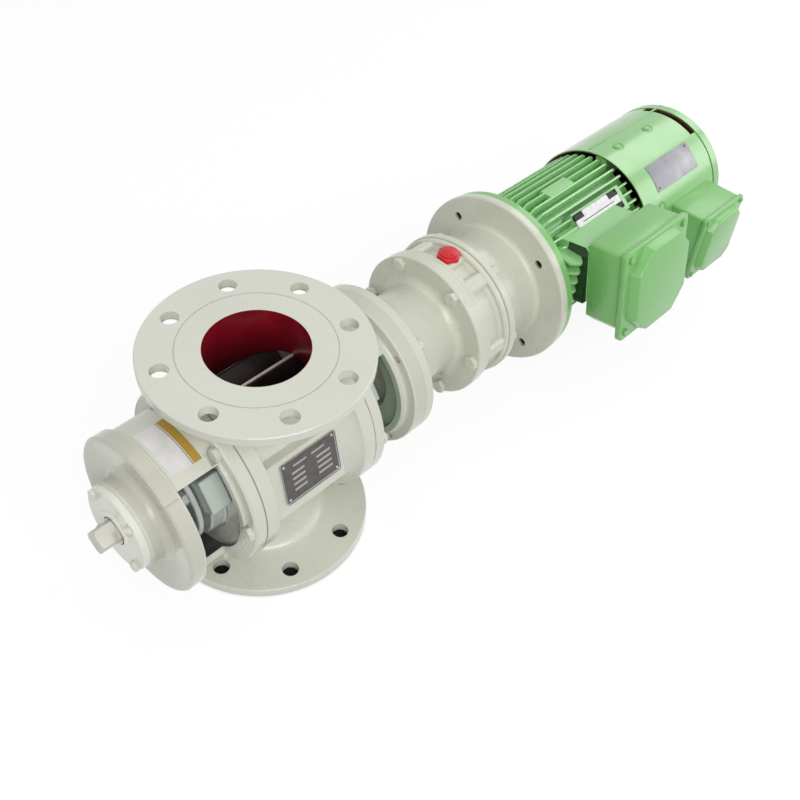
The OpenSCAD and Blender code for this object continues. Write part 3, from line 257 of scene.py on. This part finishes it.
def bracket_paint(f, base):
    """What the spray left on a bracket, with painted light and shade: grey primer on the stuffing box, and painted
    shade on the face of the disc.

    The inner walls are dark with painted shade on the outboard side, and on the drive side a grey-green primer
    made pale as painted light."""
    radius, x = f.round_the_shaft()
    along = f.math("ABSOLUTE", x)

    def zone(low, high, reach):
        return f.both(f.between(along, low, high), f.under(radius, reach))

    walls = zone(83.4 * MM, 131.2 * MM, 73.5 * MM)
    disc = zone(133 * MM, 160 * MM, 89 * MM)
    stuffing_box = zone(84.2 * MM, 107 * MM, 70 * MM)
    drive_side = f.over(x, 0.0)
    # Painted shade on the outboard inner walls, and painted light on the drive side's pale primer
    base = f.mix(walls, base, f.mix(drive_side, linear(70, 75, 68), linear(178, 194, 178)))
    # Painted shade on the face of the disc, a quarter of the way to a dark warm grey
    base = f.mix(f.math("MULTIPLY", disc, 0.25), base, linear(150, 148, 118))
    return f.mix(stuffing_box, base, PRIMER)


def fan_cover_paint(f, base):
    """The inside of the fan cover keeps its brown rust primer."""
    inner_r, rear_wall = 83.2 * MM, 1.2 * MM
    radius, x = f.round_the_shaft()
    return f.mix(f.both(f.under(radius, inner_r), f.under(x, cover_hi.x - rear_wall)), base, RUST_PRIMER)


def frame_paint(f, base):
    """Painted shade, a dark green, on the frame between the side fins, as far as the seat of the terminal box."""
    flange_face, seat_face, side = SEAT_X - 19.5 * MM, SEAT_X + 0.4 * MM, -60 * MM
    place = f.place()
    # Painted shade in the gaps between the fins
    gaps = f.both(f.between(place["X"], flange_face, seat_face), f.under(place["Y"], side))
    return f.mix(gaps, base, FIN_GAP_SHADE)


def rotor_finish():
    """Rotor grey with dust in the pockets, bright along the tips that sweep the bore: bare steel, lightened as a
    painted highlight.
    """
    f = Finish("rotor_steel")
    radius, _ = f.round_the_shaft()
    stain = f.noise(35.0, 5.0, 0.6)
    dark = f.mix(f.ramp(stain, 0.35, 0.7), linear(46, 38, 36), linear(62, 52, 50))
    # Painted highlight on the bare steel of the vane tips
    tip = f.ramp(radius, 70.4 * MM, 70.8 * MM)  # the outer end of the vanes
    return f.set(Base_Color=f.mix(tip, dark, linear(214, 208, 202)),
                 Metallic=f.ramp(tip, 0.0, 1.0, 0.3, 0.7), Roughness=f.vary(stain, 0.4, 0.6),
                 Normal=f.bump(stain, 0.05 * MM, 0.4, f.soft_edges(0.4 * MM)))


def metal(name, colour, rough=0.35, grain=(1, 40, 40), dirt=0.25, shine=1.0):
    """Turned or ground steel: fine tool marks, dull stains and painted shade in the corners."""
    f = Finish(name)
    marks = f.noise(260.0, 3.0, 0.6, stretch=grain)
    stain = f.noise(35.0, 5.0, 0.6)
    base = f.mix(f.ramp(stain, 0.42, 0.72, 0.0, dirt), colour, shade(colour, 0.45))
    base = f.mix(f.vary(marks, 0.0, 0.15), base, shade(colour, 0.6))
    # Painted shade in the corners, found by ambient occlusion
    base = f.mix(f.ramp(f.openness(3 * MM), 0.3, 0.9, 0.45, 0.0), base, CORNER_SHADE_COLOUR)
    return f.set(Base_Color=base, Metallic=shine, Roughness=f.vary(stain, rough - 0.08, rough + 0.12),
                 Normal=f.bump(marks, 0.03 * MM, 0.4, f.soft_edges(0.4 * MM)))


def moulded(name, colour, rough=0.45, grain=0.05 * MM):
    """Moulded plastic or rubber with a fine even skin."""
    f = Finish(name)
    tone = f.noise(30.0)
    return f.set(Base_Color=f.mix(f.vary(tone, 0.0, 1.0), shade(colour, 0.85), colour),
                 Roughness=f.vary(tone, rough - 0.05, rough + 0.08),
                 Normal=f.bump(f.noise(900.0, 2.0), grain, 0.5, f.soft_edges(0.5 * MM)))


# By material slot, by node where one node of a slot looks different, or by a piece made here
finishes = {
    "valve_paint": paint("cream_enamel", CREAM, cast=0.10 * MM),
    "housing": paint("cream_enamel_with_red_throat", CREAM, cast=0.08 * MM, inside=throat_paint),
    "outboard_cover": paint("cream_enamel_outboard", CREAM, cast=0.08 * MM, inside=bracket_paint),
    "drive_cover": paint("cream_enamel_drive_side", CREAM, cast=0.08 * MM, inside=bracket_paint),
    # Painted light: the bearing cap takes a lighter copy of the cream, so that it looks as lit as the disc
    "bearing_cap": paint("cream_enamel_cap", CREAM_PAINTED_LIGHTER, cast=0.05 * MM, corner_shade=0.2),
    "gland_paint": paint("grey_primer", PALE_PRIMER, rough=0.38, cast=0.10 * MM, corner_shade=0.6),
    "reducer_paint": paint("stone_enamel", STONE, cast=0.06 * MM),
    "motor_paint": paint("leaf_green_enamel", LEAF, cast=0.05 * MM, coat=0.3),
    # Painted light: the frame and its fins take a lighter copy of the leaf green, for lit fin tops
    "motor_frame": paint("leaf_green_frame", LEAF_PAINTED_LIGHTER, cast=0.05 * MM, coat=0.7, edge=1.4 * MM,
                         inside=frame_paint, shine=0.7),
    "side_fins": paint("leaf_green_fins", LEAF_PAINTED_LIGHTER, cast=0.05 * MM),
    "fan_cover": paint("leaf_green_sheet", LEAF, rough=0.3, coat=0.8, inside=fan_cover_paint, shine=0.8),
    "gasket": moulded("gasket_sheet", linear(172, 170, 156), rough=0.7),
    "rotor": rotor_finish(),
    "bearing_steel": metal("bearing_steel", linear(200, 202, 206), rough=0.22, dirt=0.1),
    "motor_flange_bolts": metal("blackened_bolts", linear(52, 50, 48), rough=0.45),
    "seal_rubber": moulded("seal_rubber", linear(30, 30, 30), rough=0.55),
    "machined_steel": metal("machined_steel", linear(168, 167, 162), rough=0.38),
    "bright_shaft": metal("ground_shaft", linear(200, 198, 190), rough=0.33, dirt=0.4, shine=0.75),
    "red_plastic": moulded("red_vent_cap", linear(226, 26, 40), rough=0.28, grain=0.02 * MM),
    "stator_core": metal("varnished_core", linear(128, 84, 58), rough=0.45),
    "black_plastic": moulded("black_moulding", linear(38, 38, 40), rough=0.5),
    "rivets": metal("rivet_steel", linear(190, 190, 186), rough=0.3, dirt=0.3),
    "dark_rivets": metal("dark_rivet_steel", linear(120, 120, 124), rough=0.35),
    "fan_plate": metal("brushed_plate", linear(152, 152, 157), rough=0.4, grain=(0.02, 1, 1), dirt=0.2),
}

SLOTS = {row["node"]: row["material_slot"] for row in frame["record"]["subparts"]}
for name, obj in frame["nodes"].items():
    obj.data.materials.clear()
    obj.data.materials.append(finishes.get(name, finishes[SLOTS[name]]))


# ---- Modelling helpers ----


def deselect():
    """Deselects everything, so that the next operator sees only its own piece."""
    bpy.ops.object.select_all(action="DESELECT")


def mode(name):
    bpy.ops.object.mode_set(mode=name)


def select_all():
    bpy.ops.mesh.select_all(action="SELECT")


def pick(obj, kind, wanted):
    """Selects only the edges or faces that wanted says yes to. The piece stays in edit mode."""
    bpy.ops.mesh.select_all(action="DESELECT")
    mode("OBJECT")
    elements = obj.data.edges if kind == "EDGE" else obj.data.polygons
    for element in elements:
        element.select = wanted(element)
    mode("EDIT")
    bpy.ops.mesh.select_mode(type=kind)


def pick_top(obj):
    pick(obj, "FACE", lambda face: face.normal.z > 0.9)


def around_shaft(angle, radius, x, up=0.0):
    """Matrix whose local Z points out from the shaft at this angle and local X runs along it."""
    a = math.radians(angle)
    out = Vector((0, -math.cos(a), math.sin(a)))
    tangent = Vector((0, math.sin(a), math.cos(a)))
    place = Vector((x, 0, AXIS_Z)) + out * radius + tangent * up
    return Matrix((
        (1, 0, 0, place.x),
        (0, tangent.y, out.y, place.y),
        (0, tangent.z, out.z, place.z),
        (0, 0, 0, 1)))


def done(obj, material, body, name, matrix=None):
    """Names a finished piece, puts its place into its mesh and lets it ride on its body."""
    if matrix is not None:
        obj.data.transform(matrix)
    obj.name = obj.data.name = name
    obj.data.materials.clear()
    obj.data.materials.append(material)
    deselect()
    obj.select_set(True)
    bpy.context.view_layer.objects.active = obj
    bpy.ops.object.shade_smooth_by_angle(angle=math.radians(35))
    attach(obj, body)


def soften(obj, width, segments=2):
    """Rounds the sharp edges of the piece that was made last."""
    edge = obj.modifiers.new("edge", "BEVEL")
    edge.width = width
    edge.segments = segments
    edge.limit_method = "ANGLE"
    bpy.ops.object.modifier_apply(modifier="edge")
    return obj


def joined(*pieces):
    deselect()
    for obj in pieces:
        obj.select_set(True)
    bpy.context.view_layer.objects.active = pieces[0]
    bpy.ops.object.join()
    return pieces[0]


def repeated(obj, places):
    """One piece made of copies of the given one, a copy for each matrix."""
    copies = []
    for place in places:
        copy = obj.copy()
        copy.data = obj.data.copy()
        copy.data.transform(place)
        bpy.context.collection.objects.link(copy)
        copies.append(copy)
    bpy.data.objects.remove(obj)
    return joined(*copies)


def block(low, high):
    """A block between two local corners, left in edit mode."""
    deselect()
    bpy.ops.mesh.primitive_cube_add(size=1)
    mode("EDIT")
    bpy.ops.transform.resize(value=[b - a for a, b in zip(low, high)])
    bpy.ops.transform.translate(value=[(a + b) / 2 for a, b in zip(low, high)])
    return bpy.context.object


def prism(low, high, corners=()):
    """A block between two local corners, some of whose upright edges are cut or rounded.

    corners gives, for the lower (-1) or upper (1) pair of them, the width of the cut and its segments."""
    obj = block(low, high)
    middle = (low[1] + high[1]) / 2
    for side, width, segments in corners:
        def wanted(edge):
            a, b = (obj.data.vertices[i].co for i in edge.vertices)
            upright = abs(a.x - b.x) + abs(a.y - b.y) < 1e-6
            return upright and (a.y - middle) * side > 0
        pick(obj, "EDGE", wanted)
        bpy.ops.mesh.bevel(offset=width, segments=segments)
    mode("OBJECT")
    return obj


def flat_plate(width, height, thick, rounding, border):
    """A sheet plate with rounded edges and a pressed border, lying on local Z = 0.

    The rounding is wider than the sheet is thick, so the rim stands a little proud of both faces."""
    obj = block((-width / 2, -height / 2, 0), (width / 2, height / 2, thick))
    bpy.ops.mesh.select_mode(type="EDGE")
    bpy.ops.mesh.bevel(offset=rounding, segments=4)
    pick_top(obj)
    bpy.ops.mesh.inset(thickness=border, depth=0)
    bpy.ops.mesh.inset(thickness=thick * 0.5, depth=-thick * 0.35)
    mode("OBJECT")
    return obj


def rivet_heads(places):
    """Domed rivet heads."""
    radius, height = 1.6 * MM, 1.1 * MM
    deselect()
    bpy.ops.mesh.primitive_uv_sphere_add(segments=20, ring_count=12, radius=radius)
    mode("EDIT")
    bpy.ops.mesh.bisect(plane_co=(0, 0, 0), plane_no=(0, 0, 1), clear_inner=True, use_fill=True)
    select_all()
    bpy.ops.transform.resize(value=(1, 1, height / radius))
    mode("OBJECT")
    return repeated(bpy.context.object, places)


def peg(radius, height, foot=0.0, vertices=32, edge=0.5 * MM):
    """An upright round or six-sided head that stands on local Z = foot."""
    deselect()
    bpy.ops.mesh.primitive_cylinder_add(vertices=vertices, radius=radius, depth=height)
    obj = bpy.context.object
    obj.data.transform(Matrix.Translation((0, 0, foot + height / 2)))
    return soften(obj, edge)


def curved_plate(radius, ends, angles, thick):
    """A plate bent to the shaft's round, cut out of a tube between two stations and two angles."""
    low, high = (math.radians(angle) for angle in angles)
    middle = (low + high) / 2
    deselect()
    bpy.ops.mesh.primitive_cylinder_add(
        vertices=240, radius=radius, depth=ends[1] - ends[0], end_fill_type="NOTHING",
        rotation=(0, math.pi / 2, 0), location=((ends[0] + ends[1]) / 2, 0, 0))
    bpy.ops.object.transform_apply(location=True, rotation=True, scale=True)
    obj = bpy.context.object
    mode("EDIT")
    for a, side in ((low, -1), (high, 1)):
        select_all()
        bpy.ops.mesh.bisect(plane_co=(0, 0, 0), plane_no=(0, side * math.sin(a), side * math.cos(a)),
                            clear_outer=True)
    select_all()
    bpy.ops.mesh.bisect(plane_co=(0, 0, 0), plane_no=(0, -math.cos(middle), math.sin(middle)),
                        clear_inner=True)
    mode("OBJECT")
    wall = obj.modifiers.new("wall", "SOLIDIFY")
    wall.thickness = thick
    wall.offset = 1
    bpy.ops.object.modifier_apply(modifier="wall")
    return obj


def lift_to_shaft(obj):
    """Closes a piece that was made round X, turns its faces outwards and lifts it to the shaft axis."""
    mode("EDIT")
    select_all()
    bpy.ops.mesh.remove_doubles(threshold=1e-6)
    bpy.ops.mesh.normals_make_consistent(inside=False)
    mode("OBJECT")
    obj.data.transform(Matrix.Translation((0, 0, AXIS_Z)))
    return obj


def lathe(profile):
    """A ring turned round X from its closed outline of (x, radius) points."""
    deselect()
    x, r = profile[0]
    bpy.ops.mesh.primitive_circle_add(vertices=180, radius=r, rotation=(0, math.pi / 2, 0),
                                      location=(x, 0, 0))
    bpy.ops.object.transform_apply(location=True, rotation=True, scale=True)
    mode("EDIT")
    select_all()
    for next_x, next_r in profile[1:] + profile[:1]:
        bpy.ops.mesh.extrude_edges_move(TRANSFORM_OT_translate={"value": (next_x - x, 0, 0)})
        bpy.ops.transform.resize(value=(1, next_r / r, next_r / r))
        x, r = next_x, next_r
    mode("OBJECT")
    return bpy.context.object


# ---- Blank plates and label ----


def plate_finish(name, field, marks, matrix, pattern, shine=0.8):
    """Etched plate, read from its own place: pattern(f, u, v) is 1 where it has its second colour."""
    f = Finish(name)
    inverse = matrix.inverted()

    def local(row):
        dot = f.add("ShaderNodeVectorMath", {0: f.coords, 1: tuple(row[:3])}, operation="DOT_PRODUCT")
        return f.math("ADD", dot.outputs["Value"], row[3])

    wear = f.noise(160.0, 4.0, 0.6)
    ground = f.mix(f.ramp(wear, 0.35, 0.7), field, shade(field, 0.8))
    brushing = f.noise(1500.0, 2.0, stretch=(1, 0.05, 0.05))
    return f.set(Base_Color=f.mix(pattern(f, local(inverse[0]), local(inverse[1])), ground, marks),
                 Metallic=shine, Roughness=f.vary(wear, 0.27, 0.45), Normal=f.bump(brushing, 0.02 * MM, 0.4))


def housing_plate():
    """Dark plate with empty entry fields and four rivets, on the pad at the front of the housing."""
    width, height = 67 * MM, 47 * MM
    edge, pitch, first_row = 1.4 * MM, 6.4 * MM, -15 * MM
    place = around_shaft(angle=14, radius=85.05 * MM, x=-7.5 * MM, up=6.5 * MM)

    def entry_fields(f, u, v):
        across, away = f.math("ABSOLUTE", u), f.math("ABSOLUTE", v)
        row = f.math("FRACT", f.math("MULTIPLY", f.math("ADD", v, -first_row), 1 / pitch))
        rows = f.both(f.between(row, 0.3, 0.68), f.between(v, first_row, 10.5 * MM))
        columns = f.either(f.between(u, -22 * MM, -7 * MM), f.between(u, 8 * MM, 25 * MM))
        heading = f.both(f.between(v, 14 * MM, 16 * MM), f.between(across, 3 * MM, 19 * MM))
        border = f.either(f.over(across, width / 2 - edge), f.over(away, height / 2 - edge))
        return f.either(f.both(rows, columns), heading, border)

    steel = plate_finish("housing_plate_steel", linear(104, 100, 100), linear(176, 174, 172), place,
                         entry_fields)
    plate = flat_plate(width, height, thick=0.8 * MM, rounding=2 * MM, border=1.2 * MM)
    done(plate, steel, "casing", "housing_plate", place)
    reach_x, reach_y, seat = width / 2 - 4 * MM, height / 2 - 4 * MM, 0.55 * MM
    rivets = rivet_heads([place @ Matrix.Translation((side * reach_x, end * reach_y, seat))
                          for side in (-1, 1) for end in (-1, 1)])
    done(rivets, finishes["rivets"], "casing", "housing_plate_rivets")


def motor_plate():
    """Silver plate with dark corner fields on the motor frame, over the fins."""
    place = around_shaft(angle=52, radius=FRAME_R + 0.1 * MM, x=frame_lo.x + 91 * MM, up=1.5 * MM)

    def corner_fields(f, u, v):
        across, away = f.math("ABSOLUTE", u), f.math("ABSOLUTE", v)
        corners = f.both(f.over(across, 24 * MM), f.over(away, 4.5 * MM))
        line = f.both(f.between(v, -0.7 * MM, 0.3 * MM), f.under(across, 30 * MM))
        return f.either(corners, line)

    steel = plate_finish("motor_plate_steel", linear(222, 220, 222), linear(34, 34, 34), place,
                         corner_fields, shine=0.4)
    plate = flat_plate(width=82 * MM, height=24 * MM, thick=0.7 * MM, rounding=1.5 * MM, border=1.0 * MM)
    done(plate, steel, "casing", "motor_plate", place)


def fan_plate():
    """Bare silver plate bent to the fan cover, with two rivets."""
    ends = (cover_lo.x + 33.5 * MM, cover_lo.x + 120.5 * MM)
    plate = soften(curved_plate(COVER_R + 0.1 * MM, ends, angles=(38, 62), thick=0.6 * MM), 0.2 * MM)
    done(lift_to_shaft(plate), finishes["fan_plate"], "casing", "fan_plate")
    rivets = rivet_heads([around_shaft(angle, COVER_R + 0.5 * MM, cover_lo.x + along)
                          for angle, along in ((41, 38 * MM), (59, 116 * MM))])
    done(rivets, finishes["dark_rivets"], "casing", "fan_plate_rivets")


def bracket_label():
    """Label without print round the top of the outboard bracket, with a coloured band."""
    line_x, band_x = (-105.2 * MM, -104.4 * MM), -103.5 * MM
    f = Finish("label_film")
    _, x = f.round_the_shaft()
    paper = f.mix(f.vary(f.noise(60.0), 0.0, 1.0), linear(226, 224, 222), linear(240, 238, 236))
    film = f.mix(f.over(x, band_x), paper, linear(190, 152, 58))
    film = f.mix(f.math("MULTIPLY", f.between(x, *line_x), 0.8), film, linear(70, 66, 60))
    f.set(Base_Color=film, Roughness=0.34, Normal=f.bump(f.noise(500.0, 2.0), 0.01 * MM, 0.5))
    label = curved_plate(radius=80.05 * MM, ends=(-127 * MM, -95 * MM), angles=(63, 103), thick=0.15 * MM)
    done(lift_to_shaft(label), f.material, "casing", "bracket_label")


# ---- Terminal boxes ----


def lid(width, down, up, thick, corner, panel, slope, cut, high):
    """A lid with round corners and a raised panel with cut corners, lying on local Z = 0.

    panel is how far the panel's foot stays inside the lid, slope how far its top stays inside its foot."""
    plate = soften(prism((0, -down, 0), (width, up, thick), ((-1, corner, 5), (1, corner, 5))), 1.0 * MM)
    low = (panel[0], -down + panel[1], thick - 0.5 * MM)
    far = (width - panel[0], up - panel[1], thick + high)
    raised = prism(low, far, ((-1, cut, 1), (1, cut, 1)))
    mode("EDIT")
    pick_top(raised)
    narrower, lower = (1 - 2 * slope[i] / (far[i] - low[i]) for i in (0, 1))
    bpy.ops.transform.resize(value=(narrower, lower, 1))
    mode("OBJECT")
    return joined(plate, soften(raised, 1.2 * MM, 3))


def lid_screws(width, down, up, inset, seat, radius, height):
    """Four round heads at the corners of a lid."""
    places = [Matrix.Translation((x, y, seat))
              for x in (inset, width - inset) for y in (-down + inset, up - inset)]
    return repeated(peg(radius, height), places)


def terminal_box():
    """Box on the side of the motor, tilted, with its lid and four screws."""
    tilt, seat, reach = 10, 96 * MM, 145 * MM
    width, down, up = 122 * MM, 53 * MM, 62 * MM
    lid_t, lap = 7 * MM, 3 * MM
    x = frame_lo.x + 19 * MM
    green = finishes["motor_paint"]

    box = prism((lap, -down + lap, 0), (width - lap, up - lap, reach - lid_t - seat),
                ((-1, 14 * MM, 1), (1, 5 * MM, 4)))
    done(soften(box, 0.8 * MM), green, "casing", "terminal_box_body",
         around_shaft(tilt, seat, x))
    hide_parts("terminal_box")

    lid_seat = around_shaft(tilt, reach - lid_t, x)
    cover = lid(width, down, up, lid_t, corner=7 * MM, panel=(8.5 * MM, 2.5 * MM), slope=(4 * MM, 3 * MM),
                cut=25 * MM, high=12 * MM)
    done(cover, green, "casing", "terminal_box_lid", lid_seat)
    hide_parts("terminal_lid")

    screws = lid_screws(width, down, up, inset=10 * MM, seat=lid_t, radius=4.2 * MM, height=3.2 * MM)
    done(screws, green, "casing", "terminal_box_screws", lid_seat)
    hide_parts("terminal_lid_screws")


def fan_terminal_box():
    """Small box on the side of the fan cover, hollowed to its round, and its lid with four screws."""
    foot, reach, low = 58 * MM, 128 * MM, -12 * MM
    width, half = 88 * MM, 46 * MM
    lid_t, lap, corner = 5 * MM, 3 * MM, 3 * MM
    cutter_r, cutter_length = COVER_R - 0.5 * MM, 400 * MM
    x = cover_lo.x + 52 * MM
    green = finishes["motor_paint"]

    box = prism((lap, -half + lap, foot), (width - lap, half - lap, reach - lid_t),
                ((-1, corner, 4), (1, corner, 4)))
    box.data.transform(around_shaft(0, 0, x, low))
    deselect()
    bpy.ops.mesh.primitive_cylinder_add(vertices=180, radius=cutter_r, depth=cutter_length,
                                        rotation=(0, math.pi / 2, 0), location=(x, 0, AXIS_Z))
    round_cut = bpy.context.object
    deselect()
    bpy.context.view_layer.objects.active = box
    seat = box.modifiers.new("seat", "BOOLEAN")
    seat.object = round_cut
    bpy.ops.object.modifier_apply(modifier="seat")
    bpy.data.objects.remove(round_cut)
    done(soften(box, 0.6 * MM), green, "casing", "fan_box_body")
    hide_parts("fan_terminal_box")

    cover = lid(width, half, half, lid_t, corner=6 * MM, panel=(8 * MM, 6 * MM), slope=(4 * MM, 3 * MM),
                cut=12 * MM, high=8 * MM)
    screws = lid_screws(width, half, half, inset=6.5 * MM, seat=lid_t, radius=3 * MM, height=2.4 * MM)
    cover = joined(cover, screws)
    done(cover, green, "casing", "fan_box_lid", around_shaft(0, reach - lid_t, x, low))
    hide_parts("fan_terminal_lid")


# ---- Small forms over the solids ----


def fan_cover_rim():
    """Sharp rear rim of the fan cover behind its air slot, and the lap seam that runs over the slot."""
    front, rear = cover_hi.x - 5 * MM, cover_hi.x + 8 * MM
    r = COVER_R + 0.25 * MM
    chamfer, lip, lip_t, wall = 1.5 * MM, 12 * MM, 2 * MM, 3 * MM
    ring = lathe([(front, r), (rear - chamfer, r), (rear, r - chamfer), (rear, r - lip),
                  (rear - lip_t, r - lip), (rear - lip_t, r - wall), (front, r - wall)])
    done(lift_to_shaft(ring), finishes["fan_cover"], "casing", "fan_cover_rim")

    start, length = cover_lo.x + 6 * MM, rear - cover_lo.x - 8 * MM
    half, sunk, proud = 1.3 * MM, 0.6 * MM, 1.1 * MM
    seam = soften(prism((0, -half, -sunk), (length, half, proud)), 0.4 * MM)
    done(seam, finishes["fan_cover"], "casing", "fan_cover_seam",
         around_shaft(106, COVER_R, start))


def stuffing_box_lugs(node, side):
    """Two square lugs on the stuffing box of a cover, which stands to the left (-1) or right (1)."""
    near, far = sorted((side * 83 * MM, side * 105.6 * MM))
    half, root, top = 17 * MM, 30 * MM, 63 * MM
    lug = soften(prism((near, -half, root), (far, half, top)), 2 * MM, 3)
    lugs = repeated(lug, [around_shaft(angle, 0, 0) for angle in (35, 215)])
    done(lugs, finishes[node], "casing", node + "_lugs")


def side_fins():
    """Flat fins between the motor flange and the seat of the terminal box, cut back at the flange."""
    count, pitch = 6, 13.5 * MM
    front, rear, tip, root = frame_lo.x + 0.5 * MM, SEAT_X + 2 * MM, -86 * MM, -50 * MM
    low, high, cut_back = AXIS_Z + 50.2 * MM, AXIS_Z + 53.8 * MM, 9 * MM
    fin = soften(prism((front, tip, low), (rear, root, high), ((-1, cut_back, 1),)), 0.4 * MM)
    fins = repeated(fin, [Matrix.Translation((0, 0, -pitch * k)) for k in range(count)])
    done(fins, finishes["side_fins"], "casing", "side_fins")


def vent_plug():
    """Vent plug of the reducer: a stem, a six-sided foot and a round cap with a flat crown."""
    below_top = 10.5 * MM
    foot = peg(radius=13.5 * MM, height=5 * MM, vertices=6, edge=0.8 * MM)
    cap = peg(radius=10 * MM, height=3 * MM, foot=4.5 * MM, vertices=48)
    crown = peg(radius=7 * MM, height=1 * MM, foot=7.3 * MM, vertices=48, edge=0.3 * MM)
    stem = peg(radius=6 * MM, height=9 * MM, foot=-8 * MM)
    place = around_shaft(90, vent_hi.z - AXIS_Z - below_top, (vent_lo.x + vent_hi.x) / 2)
    plug = joined(cap, foot, crown, stem)
    done(plug, finishes["red_plastic"], "casing", "vent_plug", place)
    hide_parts("breather_plug")


housing_plate()
motor_plate()
fan_plate()
bracket_label()
terminal_box()
fan_terminal_box()
fan_cover_rim()
stuffing_box_lugs("outboard_cover", -1)
stuffing_box_lugs("drive_cover", 1)
side_fins()
vent_plug()


# ---- Floor, light and camera ----


def pale_floor():
    """White for rays that look at it, grey for light, and dark with a painted shadow under the outlet flange,
    where it is seen through the ports.
    """
    middle, size, drop = 0.2, 12, 0.5 * MM
    dark_r, white_r = 104 * MM, 112 * MM  # from dark to white at the rim of the outlet flange
    deselect()
    bpy.ops.mesh.primitive_plane_add(size=size, location=(middle, 0, -drop))
    floor = bpy.context.object
    floor.name = "floor"

    f = Finish("pale_floor")
    f.tree.nodes.remove(f.shader)
    place = f.place()
    away = f.math("SQRT", f.squares(f.math("ADD", place["X"], middle), place["Y"]))
    # Painted shadow: the floor is dark within the rim of the outlet flange
    beyond_painted_shadow = f.ramp(away, dark_r, white_r)
    looked_at = f.looked_at()
    tone = f.mix(looked_at, grey(0.5), grey(0.95))
    plain = f.add("ShaderNodeBsdfDiffuse", {"Color": f.mix(beyond_painted_shadow, grey(0.02), tone)})
    white = f.add("ShaderNodeEmission", {"Color": grey(1), "Strength": 1.04})
    whiteness = f.math("MULTIPLY", f.math("MULTIPLY", looked_at, 0.86), beyond_painted_shadow)
    both = f.add("ShaderNodeMixShader", {0: whiteness, 1: plain.outputs[0], 2: white.outputs[0]})
    f.put(f.tree.nodes["Material Output"].inputs["Surface"], both.outputs[0])
    floor.data.materials.append(f.material)


def studio_world():
    """White for rays that look at it, and a dimmer sky for light."""
    world = bpy.data.worlds.new("studio")
    bpy.context.scene.world = world
    world.use_nodes = True
    f = Nodes(world.node_tree)
    sky = f.tree.nodes["Background"]
    f.put(sky.inputs["Color"], grey(1))
    f.put(sky.inputs["Strength"], 0.40)
    paper = f.add("ShaderNodeBackground", {"Color": grey(1), "Strength": 1.0})
    both = f.add("ShaderNodeMixShader", {0: f.looked_at(), 1: sky.outputs[0], 2: paper.outputs[0]})
    f.put(f.tree.nodes["World Output"].inputs["Surface"], both.outputs[0])


def lamp(name, place, target, size, power):
    """A rectangular lamp at a place, turned to its target."""
    light = bpy.data.lights.new(name, "AREA")
    light.shape = "RECTANGLE"
    light.size, light.size_y = size
    light.energy = power
    obj = bpy.data.objects.new(name, light)
    bpy.context.scene.collection.objects.link(obj)
    obj.location = place
    obj.rotation_mode = "QUATERNION"
    obj.rotation_quaternion = (Vector(target) - Vector(place)).to_track_quat("-Z", "Y")


def camera():
    """The camera, turned by the directions in which the right and the lower side of its view lie."""
    right = Vector((0.71057, -0.70218, 0.04519))
    down = Vector((-0.47079, -0.52218, -0.71111))
    place = Vector((-0.4271, -0.5230, 0.8863))
    ahead = right.cross(down)
    data = bpy.data.cameras.new("camera")
    data.sensor_width, data.lens = 36, 46.53
    data.shift_x, data.shift_y = 0.05, -0.05
    data.clip_start, data.clip_end = 0.01, 50
    obj = bpy.data.objects.new("camera", data)
    bpy.context.scene.collection.objects.link(obj)
    obj.matrix_world = Matrix((
        (right.x, -down.x, -ahead.x, place.x),
        (right.y, -down.y, -ahead.y, place.y),
        (right.z, -down.z, -ahead.z, place.z),
        (0, 0, 0, 1)))
    bpy.context.scene.camera = obj


pale_floor()
studio_world()
lamp("soft_box_front", place=(-0.6, -1.6, 1.6), target=(0.1, 0, 0.1), size=(1.8, 1.0), power=23.0)
lamp("soft_box_above", place=(0.0, 0.4, 1.8), target=(0.25, 0, 0.1), size=(1.4, 1.2), power=4.0)
lamp("soft_box_left", place=(-2.4, -0.7, 1.3), target=(0.2, 0, 0.1), size=(1.2, 1.2), power=4.5)
lamp("soft_box_right", place=(1.85, -0.95, 0.65), target=(0.6, 0, 0.15), size=(1.2, 0.8), power=6.0)
lamp("soft_box_far_end", place=(1.75, 0.1, 1.3), target=(0.5, 0, 0.15), size=(1.0, 0.7), power=5.0)
camera()
bpy.context.scene.view_settings.view_transform = "Standard"
